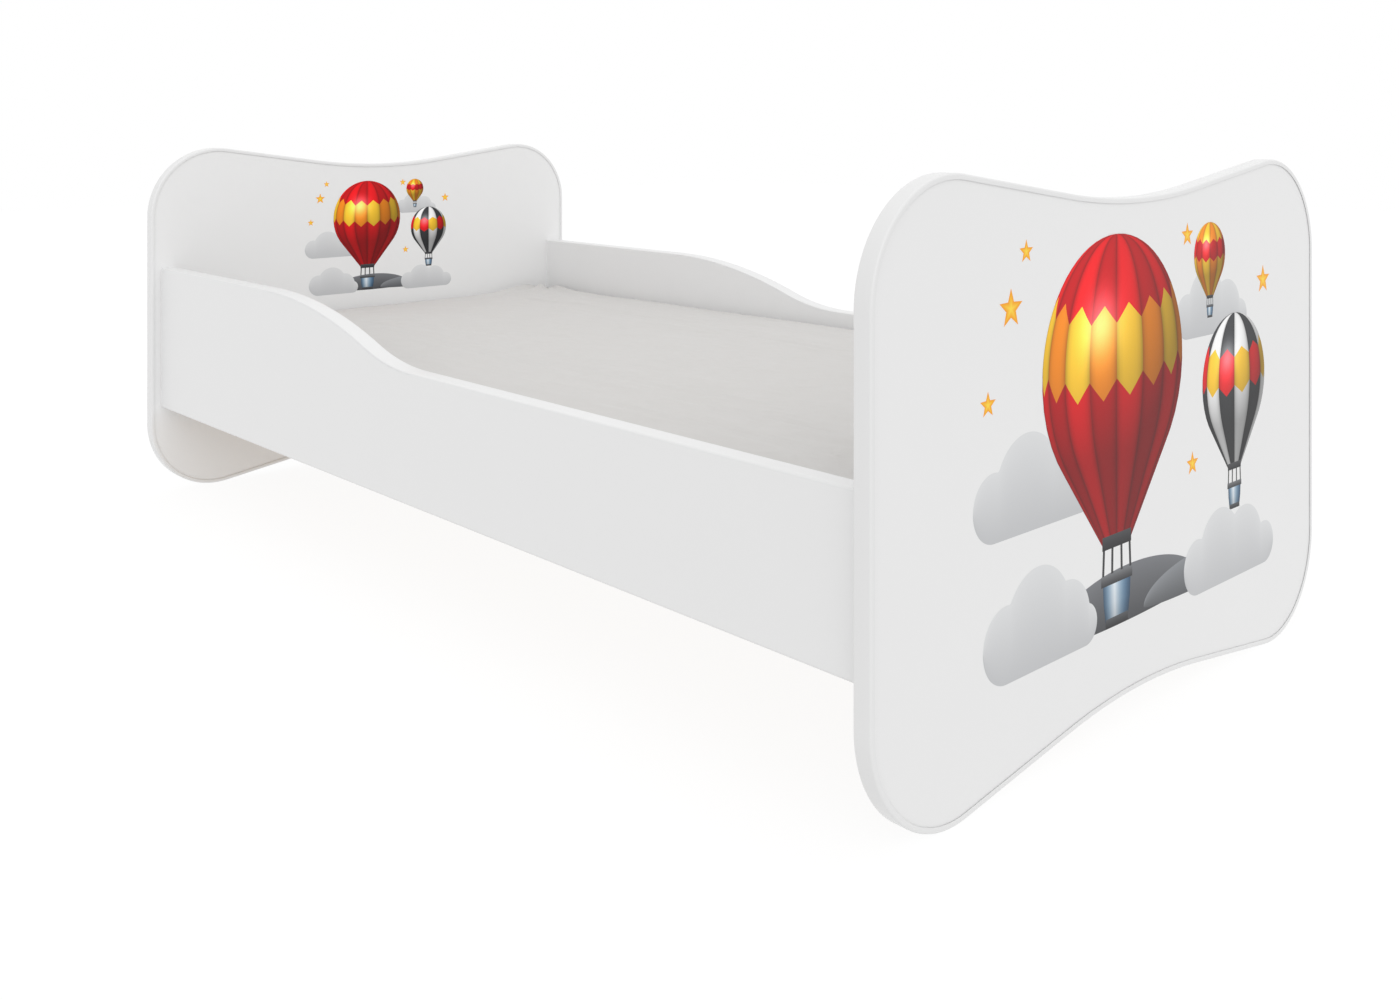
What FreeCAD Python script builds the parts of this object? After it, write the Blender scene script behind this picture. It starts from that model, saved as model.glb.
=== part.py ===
import FreeCAD, Part
import math
import os

import Sketcher

# A low child's bed for a 160 x 80 cm mattress, in millimetres.
# X runs along the bed with the head at -X, Y runs across it and Z is up. The origin is on the
# floor, under the middle of the bed.

doc = FreeCAD.newDocument("kids_bed")

# Driving sizes: name, value, meaning
SIZES = [
    ("board_width", 895, "head and foot boards over their edge trim, across the bed"),
    ("board_height", 604, "head and foot boards over their edge trim, before the feet are pressed flat"),
    ("corner_radius", 120, "round corners of the boards, over the trim"),
    ("dip_depth", 35, "how far the long edges of the boards dip between two corners"),
    ("dip_flank", 178, "straight slope between a corner and the hollow of a long edge"),
    ("core_thickness", 18, "laminated board inside the trim"),
    ("trim_web", 2, "trim over the board's edge"),
    ("trim_bevel", 1.5, "bevels along the trim's outer edges"),
    ("lip_thickness", 1.5, "trim lips on both faces of the board"),
    ("lip_reach", 4, "how far the lips reach in from the board's edge"),
    ("foot_flat", 0.5, "depth of the flats that the bed's weight presses into the trim at the feet"),
    ("side_length", 1610, "side panels, from head board to foot board"),
    ("side_inset", 17, "end of a board to the outer face of a side"),
    ("side_thickness", 25, "side panels"),
    ("side_lift", 150, "floor to the lower edge of a side"),
    ("side_height", 174, "low part of a side, over its edge bands"),
    ("wave_drop", 70, "how much higher a side is at the head"),
    ("wave_start", 414, "level stretch at the head, before the wave"),
    ("wave_crest_radius", 950, "round part of the wave"),
    ("wave_hollow_radius", 390, "hollow part of the wave"),
    ("band_thickness", 3, "edge bands of the sides"),
    ("band_bevel", 2, "bevels along the bands' outer edges"),
    ("batten_height", 30, "battens that carry the slats"),
    ("batten_depth", 20, "battens, square to the sides"),
    ("batten_lift", 5, "lower edge of a side to its batten"),
    ("batten_setback", 60, "end of a side to the end of its batten"),
    ("slat_count", 13, "slats"),
    ("slat_width", 70, "slats, along the bed"),
    ("slat_thickness", 15, "slats"),
    ("slat_bevel", 3, "bevels along the slats"),
    ("slat_play", 3, "end of a slat to the side"),
    ("tape_width", 25, "webbing that spaces the slats"),
    ("tape_thickness", 1.5, "webbing"),
    ("tape_spacing", 440, "between the two webbings"),
    ("mattress_play", 5, "mattress to the boards and sides around it"),
    ("mattress_height", 102, "mattress at the middle of its crown"),
    ("mattress_crown", 6, "rise of the top from its edge to its middle"),
    ("crown_run", 160, "width of the sloping rim of the crown"),
    ("mattress_corner", 30, "mattress corners in plan"),
    ("top_round", 22, "rounding round the top of the mattress"),
    ("base_round", 14, "rounding round the base of the mattress"),
    ("side_bulge", 2, "swelling of the mattress sides"),
    ("padding_share", 0.4, "padding round the foam, as a share of the cover's rounding there"),
    ("cover_play", 0.3, "cover to foam"),
    ("zip_level", 44, "base of the mattress to the zip"),
    ("zip_height", 6, "zip tape round the mattress"),
    ("zip_thickness", 3, "zip tape round the mattress"),
    ("dowel_diameter", 8, "wooden dowels"),
    ("dowel_length", 35, "wooden dowels"),
    ("dowel_seat", 12, "depth of a dowel in a head or foot board"),
    ("dowel_first", 36, "lower edge of a side to its first dowel"),
    ("dowel_pitch", 100, "between the two dowels of an end"),
    ("cam_diameter", 15, "cam locks"),
    ("cam_below_bolt", 4, "depth of a cam lock past the axis of its bolt"),
    ("cam_backset", 34, "end of a side to the middle of a cam lock"),
    ("cam_level", 86, "lower edge of a side to its cam locks"),
    ("bolt_diameter", 6, "cam bolts"),
    ("bolt_seat", 11, "depth of a cam bolt in a head or foot board"),
    ("bolt_neck_diameter", 3.5, "cam bolts, where the lock grips them"),
    ("bolt_head_length", 3, "head of a cam bolt"),
    ("cap_diameter", 18, "caps over the cam locks"),
    ("cap_thickness", 1.2, "caps over the cam locks"),
    ("fit_play", 0.1, "air round dowels, bolts and cam locks in their holes"),
]

# Points closer than this count as touching
TOUCH = 0.001

# Sizes that follow from the driving ones
FOLLOWING = [
    ("board_thickness", "core_thickness + 2 * lip_thickness"),
    ("board_x", "side_length / 2 + core_thickness / 2"),
    ("dip_span", "board_width / 2 - corner_radius"),
    ("dip_radius", "(dip_span ^ 2 + dip_depth ^ 2 - dip_flank ^ 2) / (2 * dip_depth) - corner_radius"),
    ("inner_width", "board_width - 2 * side_inset - 2 * side_thickness"),
    ("side_y", "inner_width / 2 + side_thickness / 2"),
    ("low_top", "side_lift + side_height"),
    ("high_top", "low_top + wave_drop"),
    ("batten_base", "side_lift + batten_lift"),
    ("batten_length", "side_length - 2 * batten_setback"),
    ("batten_y", "inner_width / 2 - batten_depth / 2"),
    ("slat_base", "batten_base + batten_height"),
    ("slat_length", "inner_width - 2 * slat_play"),
    ("slat_first_x", "slat_width / 2 - batten_length / 2"),
    ("slat_pitch", "(batten_length - slat_width) / (slat_count - 1)"),
    ("mattress_base", "slat_base + slat_thickness"),
    ("mattress_length", "side_length - 2 * mattress_play"),
    ("mattress_width", "inner_width - 2 * mattress_play"),
    ("crown_rim", "mattress_height - mattress_crown"),
    ("foam_inset", "side_bulge + padding_share * top_round"),
    ("foam_base", "padding_share * base_round"),
    ("foam_top", "crown_rim - padding_share * top_round"),
    ("zip_top", "zip_level + zip_height"),
    ("cam_height", "side_thickness / 2 + cam_below_bolt"),
    ("cam_x", "side_length / 2 - cam_backset"),
]

sheet = doc.addObject("Spreadsheet::Sheet", "dims")
for row, (alias, size, meaning) in enumerate(SIZES, 1):
    sheet.set(f"A{row}", meaning)
    sheet.set(f"B{row}", str(size))
    sheet.setAlias(f"B{row}", alias)
for row, (alias, formula) in enumerate(FOLLOWING, len(SIZES) + 1):
    sheet.set(f"B{row}", "=" + formula)
    sheet.setAlias(f"B{row}", alias)
doc.recompute()


def value(formula):
    """The number that a formula in sheet sizes gives."""
    return float(sheet.evalExpression(formula))


def new_body(label):
    """An empty body for one sub-part, which may hold several alike solids."""
    body = doc.addObject("PartDesign::Body", label)
    body.Label = label
    body.AllowCompound = True
    return body


def place(body, **offsets):
    """Puts a body at its place along x, y or z, each given as a formula."""
    for axis, formula in offsets.items():
        body.setExpression(f"Placement.Base.{axis}", formula)


def origin_feature(body, role):
    """One of a body's own origin planes or axes."""
    return next(feature for feature in body.Origin.OriginFeatures if feature.Role == role)


def new_sketch(body, name, role, **offsets):
    """A sketch on an origin plane of its body, moved in that plane's own axes by formulas."""
    sketch = body.newObject("Sketcher::SketchObject", f"{body.Name}_{name}")
    sketch.AttachmentSupport = [(origin_feature(body, role), "")]
    sketch.MapMode = "FlatFace"
    for axis, formula in offsets.items():
        sketch.setExpression(f"AttachmentOffset.Base.{axis}", formula)
    return sketch


def bind(sketch, formula, kind, *geometry):
    """A dimension of a sketch that follows a formula."""
    number = sketch.addConstraint(Sketcher.Constraint(kind, *geometry, value(formula)))
    sketch.setExpression(f"Constraints[{number}]", formula)


def pin(sketch, geometry, point, x_formula, y_formula):
    """Holds one point of a sketch at a place. "0" puts it on the axis itself."""
    places = (("DistanceX", x_formula, -2), ("DistanceY", y_formula, -1))
    for kind, formula, axis in places:
        if formula == "0":
            sketch.addConstraint(Sketcher.Constraint("PointOnObject", geometry, point, axis))
        else:
            bind(sketch, formula, kind, -1, 1, geometry, point)


def circle(sketch, x_formula, y_formula, radius_formula):
    """A circle at a place given by formulas."""
    centre = FreeCAD.Vector(value(x_formula), value(y_formula), 0)
    drawn = Part.Circle(centre, FreeCAD.Vector(0, 0, 1), value(radius_formula))
    number = sketch.addGeometry(drawn)
    pin(sketch, number, 3, x_formula, y_formula)
    bind(sketch, radius_formula, "Radius", number)


def polygon(sketch, corners):
    """A closed outline through corners given as pairs of formulas, counter-clockwise."""
    points = [FreeCAD.Vector(value(x), value(y), 0) for x, y in corners]
    sides = [sketch.addGeometry(Part.LineSegment(*pair)) for pair in zip(points, points[1:] + points[:1])]
    for index, side in enumerate(sides):
        sketch.addConstraint(Sketcher.Constraint("Coincident", sides[index - 1], 2, side, 1))
        pin(sketch, side, 1, *corners[index])


def rectangle(sketch, x_low, y_low, x_high, y_high):
    """A rectangle between two opposite corners given as formulas."""
    polygon(sketch, [(x_low, y_low), (x_high, y_low), (x_high, y_high), (x_low, y_high)])


def belt(sketch, arcs):
    """A closed outline of arcs joined by straight lines that touch both neighbours.

    Each arc is (x, y, radius, turn) with formulas for its centre and radius; turn is 1 where the
    outline goes round it counter-clockwise and -1 where it is a hollow. A line that leaves arc 1
    and reaches arc 2 in the direction u has both centres beside it at their radii, so with the
    centres D apart in the direction p it runs at the angle p - asin((turn2 r2 - turn1 r1) / D)."""
    centres = [FreeCAD.Vector(value(x), value(y), 0) for x, y, _, _ in arcs]
    reach = [turn * value(radius) for _, _, radius, turn in arcs]
    count = len(arcs)
    leaves, arrives, lines = [], [], []
    for index in range(count):
        following = (index + 1) % count
        apart = centres[following] - centres[index]
        angle = math.atan2(apart.y, apart.x)
        angle -= math.asin((reach[following] - reach[index]) / apart.Length)
        left = FreeCAD.Vector(-math.sin(angle), math.cos(angle), 0)
        leaves.append(centres[index] - left * reach[index])
        arrives.append(centres[following] - left * reach[following])
        lines.append(sketch.addGeometry(Part.LineSegment(leaves[index], arrives[index])))
    for index, (x, y, radius, turn) in enumerate(arcs):
        ends = [arrives[index - 1], leaves[index]][::turn]
        first, last = [math.atan2(end.y - centres[index].y, end.x - centres[index].x) for end in ends]
        whole = Part.Circle(centres[index], FreeCAD.Vector(0, 0, 1), abs(reach[index]))
        arc = sketch.addGeometry(Part.ArcOfCircle(whole, first, last))
        entry, leave = (1, 2)[::turn]
        sketch.addConstraint(Sketcher.Constraint("Tangent", lines[index - 1], 2, arc, entry))
        sketch.addConstraint(Sketcher.Constraint("Tangent", arc, leave, lines[index], 1))
        pin(sketch, arc, 3, x, y)
        bind(sketch, radius, "Radius", arc)


def round_rectangle(sketch, length, width, radius):
    """A rectangle with round corners about the sketch's origin, given by formulas."""
    x, y = f"(({length}) / 2 - ({radius}))", f"(({width}) / 2 - ({radius}))"
    belt(sketch, [(f"{side_x} * {x}", f"{side_y} * {y}", radius, 1)
                  for side_x, side_y in ((1, 1), (-1, 1), (-1, -1), (1, -1))])


def finish(body, feature):
    """Recomputes a body up to its newest feature."""
    body.Tip = feature
    doc.recompute()
    return feature


def pad(body, sketch, length, symmetric=False, reverse=False):
    """Thickens a sketch by a formula, to one side or about its plane."""
    feature = body.newObject("PartDesign::Pad", f"{sketch.Name}_pad")
    feature.Profile = sketch
    feature.SideType = "Symmetric" if symmetric else "One side"
    feature.Reversed = reverse
    feature.setExpression("Length", length)
    return finish(body, feature)


def cut(body, sketch, depth, reverse=False):
    """Cuts a sketch into its body by a formula, against the sketch's normal unless reversed."""
    before = body.Shape.Volume
    feature = body.newObject("PartDesign::Pocket", f"{sketch.Name}_pocket")
    feature.Profile = sketch
    feature.Reversed = reverse
    feature.setExpression("Length", depth)
    finish(body, feature)
    if body.Shape.Volume >= before:
        raise RuntimeError(f"{feature.Name} cuts nothing")
    return feature


def revolve(body, sketch):
    """Turns a sketch once round its own horizontal axis."""
    feature = body.newObject("PartDesign::Revolution", f"{sketch.Name}_revolution")
    feature.Profile = sketch
    feature.ReferenceAxis = (sketch, ["H_Axis"])
    feature.Angle = 360
    return finish(body, feature)


def mirror(body, role):
    """Adds the mirror image of everything in the body."""
    feature = body.newObject("PartDesign::Mirrored", f"{body.Name}_mirror_{role}")
    feature.TransformMode = "Whole shape"
    feature.MirrorPlane = (origin_feature(body, role), [""])
    return finish(body, feature)


def repeat(body, role, extent, count):
    """Copies everything in the body evenly along an axis, over the extent that a formula gives."""
    feature = body.newObject("PartDesign::LinearPattern", f"{body.Name}_row")
    feature.TransformMode = "Whole shape"
    feature.Direction = (origin_feature(body, role), [""])
    feature.Mode = "Extent"
    feature.setExpression("Length", extent)
    feature.Occurrences = count
    return finish(body, feature)


def board_outline(sketch, inset):
    """The wavy outline of a head or foot board, drawn in by an inset from the trim's outside.

    The hollow arcs in the two long edges and the four corners keep their centres, so that outlines
    with different insets run parallel."""
    low_z = "(dims.corner_radius - dims.foot_flat)"
    high_z = "(dims.board_height - dims.foot_flat - dims.corner_radius)"
    hollow_low = "(dims.dip_depth - dims.dip_radius - dims.foot_flat)"
    hollow_high = "(dims.board_height - dims.foot_flat - dims.dip_depth + dims.dip_radius)"
    corner, hollow = f"dims.corner_radius - {inset}", f"dims.dip_radius + {inset}"
    belt(sketch, [
        ("0", hollow_low, hollow, -1),
        ("dims.dip_span", low_z, corner, 1),
        ("dims.dip_span", high_z, corner, 1),
        ("0", hollow_high, hollow, -1),
        ("-dims.dip_span", high_z, corner, 1),
        ("-dims.dip_span", low_z, corner, 1),
    ])


# Each end of a side has a cam fitting between two dowels
DOWEL_HEIGHTS = ("dims.side_lift + dims.dowel_first",
                 "dims.side_lift + dims.dowel_first + dims.dowel_pitch")
CAM_HEIGHTS = ("dims.side_lift + dims.cam_level",)


def make_board(end, turn):
    """Head or foot board: a laminated core drilled for the sides, and the trim round its edge.

    It is drawn for the foot end, drilled from its -X face, and turned about Z for the head. The trim
    is a channel with a flat back and bevelled outer edges."""
    panel = new_body(f"{end}board_panel")
    outline = new_sketch(panel, "outline", "YZ_Plane")
    board_outline(outline, "dims.trim_web")
    pad(panel, outline, "dims.core_thickness", symmetric=True)
    drillings = (
        ("dowel_holes", DOWEL_HEIGHTS, "dims.dowel_diameter", "dims.dowel_seat"),
        ("bolt_holes", CAM_HEIGHTS, "dims.bolt_diameter", "dims.bolt_seat"),
    )
    for name, heights, diameter, depth in drillings:
        holes = new_sketch(panel, name, "YZ_Plane", z="-dims.core_thickness / 2")
        for height in heights:
            for side in ("dims.side_y", "-dims.side_y"):
                circle(holes, side, height, f"{diameter} / 2 + dims.fit_play")
        cut(panel, holes, f"{depth} + dims.fit_play", reverse=True)

    trim = new_body(f"{end}board_edge_trim")
    route = new_sketch(trim, "route", "YZ_Plane")
    board_outline(route, "0")
    section = new_sketch(trim, "section", "XY_Plane", z="dims.board_height / 2 - dims.foot_flat")
    out, core = "dims.board_thickness / 2", "dims.core_thickness / 2"
    edge = "dims.board_width / 2 - dims.trim_web"
    lip = f"{edge} - dims.lip_reach"
    back = "dims.board_width / 2"
    shoulder = f"({out} - dims.trim_bevel)"
    polygon(section, [
        (f"-{out}", lip),
        (f"-{core}", lip),
        (f"-{core}", edge),
        (core, edge),
        (core, lip),
        (out, lip),
        (out, f"{back} - dims.trim_bevel"),
        (shoulder, back),
        (f"-{shoulder}", back),
        (f"-{out}", f"{back} - dims.trim_bevel"),
    ])
    doc.recompute()
    sweep = trim.newObject("PartDesign::AdditivePipe", f"{trim.Name}_sweep")
    sweep.Profile = section
    sweep.Spine = route
    finish(trim, sweep)
    flats = new_sketch(trim, "flats", "XY_Plane")
    for foot in ("dims.dip_span", "-dims.dip_span"):
        rectangle(flats, f"-{out}", f"{foot} - dims.corner_radius / 2",
                  out, f"{foot} + dims.corner_radius / 2")
    cut(trim, flats, "dims.trim_web")

    for body in (panel, trim):
        body.Placement.Rotation = FreeCAD.Rotation(FreeCAD.Vector(0, 0, 1), turn)
        place(body, x="dims.board_x" if turn == 0 else "-dims.board_x")
    return [panel, trim]


def wave_edge(sketch, inset):
    """The top edge of a side, drawn in by an inset: level, a round and a hollow arc, level again.

    Returns its four pieces, from the head to the foot."""
    start = "dims.wave_start - dims.side_length / 2"
    crest = f"dims.wave_crest_radius - {inset}"
    hollow = f"dims.wave_hollow_radius + {inset}"
    radii = value(crest), value(hollow)
    sweep = math.acos(1 - value("dims.wave_drop") / sum(radii))
    begin = FreeCAD.Vector(value(start), value(f"dims.high_top - {inset}"), 0)
    finish_x = begin.x + sum(radii) * math.sin(sweep)
    end = FreeCAD.Vector(finish_x, value(f"dims.low_top - {inset}"), 0)
    half = value("dims.side_length / 2")
    upward = FreeCAD.Vector(0, 0, 1)
    round_arc = Part.Circle(begin - FreeCAD.Vector(0, radii[0], 0), upward, radii[0])
    hollow_arc = Part.Circle(end + FreeCAD.Vector(0, radii[1], 0), upward, radii[1])
    quarter = math.pi / 2
    pieces = [
        sketch.addGeometry(Part.LineSegment(FreeCAD.Vector(-half, begin.y, 0), begin)),
        sketch.addGeometry(Part.ArcOfCircle(round_arc, quarter - sweep, quarter)),
        sketch.addGeometry(Part.ArcOfCircle(hollow_arc, 3 * quarter - sweep, 3 * quarter)),
        sketch.addGeometry(Part.LineSegment(end, FreeCAD.Vector(half, end.y, 0))),
    ]
    high, crest_arc, dip_arc, low = pieces
    sketch.addConstraint(Sketcher.Constraint("Tangent", high, 2, crest_arc, 2))
    sketch.addConstraint(Sketcher.Constraint("Tangent", crest_arc, 1, dip_arc, 1))
    sketch.addConstraint(Sketcher.Constraint("Tangent", dip_arc, 2, low, 1))
    sketch.addConstraint(Sketcher.Constraint("Horizontal", low))
    pin(sketch, high, 1, "-dims.side_length / 2", f"dims.high_top - {inset}")
    pin(sketch, high, 2, start, f"dims.high_top - {inset}")
    pin(sketch, low, 2, "dims.side_length / 2", f"dims.low_top - {inset}")
    bind(sketch, crest, "Radius", crest_arc)
    bind(sketch, hollow, "Radius", dip_arc)
    return pieces


def make_side(name, sign):
    """One long side at y = sign x side_y: panel, top and bottom edge bands, and slat batten."""
    inner = f"{sign} * dims.side_thickness / 2"
    into_panel = sign < 0
    band = "dims.band_thickness"

    panel = new_body(f"{name}_side_panel")
    outline = new_sketch(panel, "outline", "XZ_Plane")
    high, _, _, low = wave_edge(outline, band)
    base = f"dims.side_lift + {band}"
    half = "dims.side_length / 2"
    left, right = FreeCAD.Vector(-value(half), value(base), 0), FreeCAD.Vector(value(half), value(base), 0)
    above_left = FreeCAD.Vector(left.x, value(f"dims.high_top - {band}"), 0)
    above_right = FreeCAD.Vector(right.x, value(f"dims.low_top - {band}"), 0)
    corners = [above_left, left, right, above_right]
    closing = [outline.addGeometry(Part.LineSegment(*pair)) for pair in zip(corners, corners[1:])]
    chain = [(high, 1), (closing[0], 1), (closing[0], 2), (closing[1], 1),
             (closing[1], 2), (closing[2], 1), (closing[2], 2), (low, 2)]
    for first, second in zip(chain[::2], chain[1::2]):
        outline.addConstraint(Sketcher.Constraint("Coincident", *first, *second))
    pin(outline, closing[1], 1, f"-{half}", base)
    pin(outline, closing[1], 2, half, base)
    pad(panel, outline, "dims.side_thickness", symmetric=True)

    cam_holes = new_sketch(panel, "cam_holes", "XZ_Plane", z=inner)
    for height in CAM_HEIGHTS:
        for end in ("dims.cam_x", "-dims.cam_x"):
            circle(cam_holes, end, height, "dims.cam_diameter / 2 + dims.fit_play")
    cut(panel, cam_holes, "dims.cam_height + dims.fit_play", reverse=into_panel)
    drillings = (
        ("dowel_holes", DOWEL_HEIGHTS, "dims.dowel_diameter",
         "dims.dowel_length - dims.dowel_seat + dims.fit_play"),
        ("bolt_holes", CAM_HEIGHTS, "dims.bolt_diameter", "dims.cam_backset"),
    )
    for end, at in (("foot", half), ("head", f"-{half}")):
        for hole_name, heights, diameter, depth in drillings:
            holes = new_sketch(panel, f"{end}_{hole_name}", "YZ_Plane", z=at)
            for height in heights:
                circle(holes, "0", height, f"{diameter} / 2 + dims.fit_play")
            cut(panel, holes, depth, reverse=end == "head")

    top_band = new_body(f"{name}_side_top_band")
    strip = new_sketch(top_band, "strip", "XZ_Plane")
    upper, lower = wave_edge(strip, "0"), wave_edge(strip, band)
    for piece, point in ((0, 1), (3, 2)):
        ends = [strip.getPoint(edge[piece], point) for edge in (upper, lower)]
        joint = strip.addGeometry(Part.LineSegment(*ends))
        for number, edge in enumerate((upper, lower), 1):
            strip.addConstraint(Sketcher.Constraint("Coincident", joint, number, edge[piece], point))
    bevel_band(top_band, pad(top_band, strip, "dims.side_thickness", symmetric=True), upward=True)

    bottom_band = new_body(f"{name}_side_bottom_band")
    strip = new_sketch(bottom_band, "strip", "XZ_Plane")
    rectangle(strip, f"-{half}", "dims.side_lift", half, base)
    bevel_band(bottom_band, pad(bottom_band, strip, "dims.side_thickness", symmetric=True), upward=False)
    for body in (panel, top_band, bottom_band):
        place(body, y=f"{sign} * dims.side_y")
    return [panel, top_band, bottom_band, make_batten(name, sign)]


def bevel_band(body, feature, upward):
    """Bevels the two long outer edges of an edge band, which follow its upper or lower face."""
    thickness = value("dims.band_thickness")
    into_band = FreeCAD.Vector(0, 0, -thickness / 2 if upward else thickness / 2)
    names = []
    for number, edge in enumerate(feature.Shape.Edges, 1):
        if edge.BoundBox.XLength <= thickness:
            continue
        middle = edge.valueAt((edge.FirstParameter + edge.LastParameter) / 2)
        if feature.Shape.isInside(middle + into_band, TOUCH, True):
            names.append(f"Edge{number}")
    bevel = body.newObject("PartDesign::Chamfer", f"{body.Name}_bevel")
    bevel.Base = (feature, names)
    bevel.setExpression("Size", "dims.band_bevel")
    finish(body, bevel)


def make_batten(name, sign):
    """The batten inside one side."""
    batten = new_body(f"{name}_support_batten")
    outline = new_sketch(batten, "outline", "XZ_Plane")
    half, top = "dims.batten_length / 2", "dims.batten_base + dims.batten_height"
    rectangle(outline, f"-{half}", "dims.batten_base", half, top)
    pad(batten, outline, "dims.batten_depth", symmetric=True)
    place(batten, y=f"{sign} * dims.batten_y")
    return batten


def make_slats():
    """The bevelled slats, evenly spaced along the battens."""
    slats = []
    across, up = "dims.slat_width / 2", "dims.slat_thickness / 2"
    short, low = f"({across} - dims.slat_bevel)", f"({up} - dims.slat_bevel)"
    for number in range(int(value("dims.slat_count"))):
        slat = new_body(f"slat_{number + 1:02d}")
        section = new_sketch(slat, "section", "XZ_Plane")
        polygon(section, [
            (f"-{short}", f"-{up}"),
            (short, f"-{up}"),
            (across, f"-{low}"),
            (across, low),
            (short, up),
            (f"-{short}", up),
            (f"-{across}", low),
            (f"-{across}", f"-{low}"),
        ])
        pad(slat, section, "dims.slat_length", symmetric=True)
        place(slat, x=f"dims.slat_first_x + {number} * dims.slat_pitch",
              z="dims.slat_base + dims.slat_thickness / 2")
        slats.append(slat)
    return slats


def make_tape(name, sign):
    """Webbing under the slats, from the first one to the last."""
    tape = doc.addObject("Part::Box", f"{name}_slat_tape")
    tape.Label = f"{name}_slat_tape"
    tape.setExpression("Length", "dims.batten_length")
    tape.setExpression("Width", "dims.tape_width")
    tape.setExpression("Height", "dims.tape_thickness")
    place(tape, x="-dims.batten_length / 2",
          y=f"{sign} * dims.tape_spacing / 2 - dims.tape_width / 2",
          z="dims.slat_base - dims.tape_thickness")
    return tape


def four_ends(body):
    """Repeats a fitting drawn at the foot end of the right side at the other three ends."""
    mirror(body, "YZ_Plane")
    mirror(body, "XZ_Plane")
    return body


def make_dowels():
    """Wooden dowels between the sides and the boards."""
    dowels = new_body("connector_dowels")
    seat = "(dims.side_length / 2 - dims.dowel_length + dims.dowel_seat)"
    ring = new_sketch(dowels, "ring", "YZ_Plane", z=seat)
    circle(ring, "dims.side_y", DOWEL_HEIGHTS[0], "dims.dowel_diameter / 2")
    pad(dowels, ring, "dims.dowel_length")
    repeat(dowels, "Z_Axis", "dims.dowel_pitch", len(DOWEL_HEIGHTS))
    return four_ends(dowels)


def make_cam_bolts():
    """Steel bolts screwed into the boards, whose heads the cam locks in the sides draw in."""
    bolts = new_body("cam_bolts")
    section = new_sketch(bolts, "section", "XY_Plane", x="dims.side_length / 2", y="dims.side_y",
                         z=CAM_HEIGHTS[0])
    shank, neck = "dims.bolt_diameter / 2", "dims.bolt_neck_diameter / 2"
    tip, lock = "dims.bolt_seat", "-dims.cam_backset + dims.cam_diameter / 2"
    head_start = "-dims.cam_backset + dims.bolt_head_length / 2"
    head_end = "-dims.cam_backset - dims.bolt_head_length / 2"
    polygon(section, [
        (head_end, "0"),
        (tip, "0"),
        (tip, shank),
        (lock, shank),
        (lock, neck),
        (head_start, neck),
        (head_start, shank),
        (head_end, shank),
    ])
    revolve(bolts, section)
    return four_ends(bolts)


def make_cam_locks():
    """Zinc discs in the inner faces of the sides, each with a tunnel for the head of its bolt."""
    locks = new_body("cam_locks")
    disc = new_sketch(locks, "disc", "XZ_Plane", z="-dims.inner_width / 2")
    circle(disc, "dims.cam_x", CAM_HEIGHTS[0], "dims.cam_diameter / 2")
    pad(locks, disc, "dims.cam_height", reverse=True)
    tunnel = new_sketch(locks, "tunnel", "YZ_Plane", z="dims.cam_x - dims.bolt_head_length")
    circle(tunnel, "dims.side_y", CAM_HEIGHTS[0], "dims.bolt_diameter / 2 + dims.fit_play")
    cut(locks, tunnel, "dims.cam_diameter", reverse=True)
    return four_ends(locks)


def make_cam_caps():
    """Flat caps that hide the cam locks on the inner faces of the sides."""
    caps = new_body("cam_caps")
    disc = new_sketch(caps, "disc", "XZ_Plane", z="-dims.inner_width / 2")
    circle(disc, "dims.cam_x", CAM_HEIGHTS[0], "dims.cap_diameter / 2")
    pad(caps, disc, "dims.cap_thickness")
    return four_ends(caps)


# The mattress cover is drawn through levels: quarter rounds at its base and top, a swelling side
# between them, and a crown that rises from the rim to the flat middle
ROUND_STEPS = (0, 45, 90)
CROWN_STEPS = 2


def base_levels():
    """Levels and insets of the rounding at the base of the mattress."""
    levels = []
    for step in ROUND_STEPS:
        up, inward = 1 - math.cos(math.radians(step)), 1 - math.sin(math.radians(step))
        levels.append((f"{up:.6f} * dims.base_round",
                       f"dims.side_bulge + {inward:.6f} * dims.base_round"))
    return levels


def top_levels():
    """Levels and insets of the rounding at the top of the mattress and of its crown."""
    levels = []
    for step in ROUND_STEPS:
        down, inward = 1 - math.sin(math.radians(step)), 1 - math.cos(math.radians(step))
        levels.append((f"dims.crown_rim - {down:.6f} * dims.top_round",
                       f"dims.side_bulge + {inward:.6f} * dims.top_round"))
    for step in range(1, CROWN_STEPS + 1):
        share = step / CROWN_STEPS
        rise = 1 - (1 - share) ** 2
        levels.append((f"dims.crown_rim + {rise:.6f} * dims.mattress_crown",
                       f"dims.side_bulge + dims.top_round + {share:.6f} * dims.crown_run"))
    return levels


def plan(body, name, level, inset):
    """The mattress in plan at a level, drawn in by an inset."""
    sketch = new_sketch(body, name, "XY_Plane", z=level)
    round_rectangle(sketch, f"dims.mattress_length - 2 * ({inset})",
                    f"dims.mattress_width - 2 * ({inset})", "dims.mattress_corner")
    return sketch


def make_cover_half(name, levels, rim, depth, upward):
    """One half of the padded cover, with a pocket for the foam sunk into it from its rim."""
    half = new_body(name)
    sketches = [plan(half, f"level_{number}", *level) for number, level in enumerate(levels)]
    doc.recompute()
    form = half.newObject("PartDesign::AdditiveLoft", f"{name}_form")
    form.Profile = sketches[0]
    form.Sections = sketches[1:]
    form.Ruled = True
    finish(half, form)
    cut(half, plan(half, "pocket", rim, "dims.foam_inset - dims.cover_play"), depth, reverse=upward)
    return half


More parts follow.
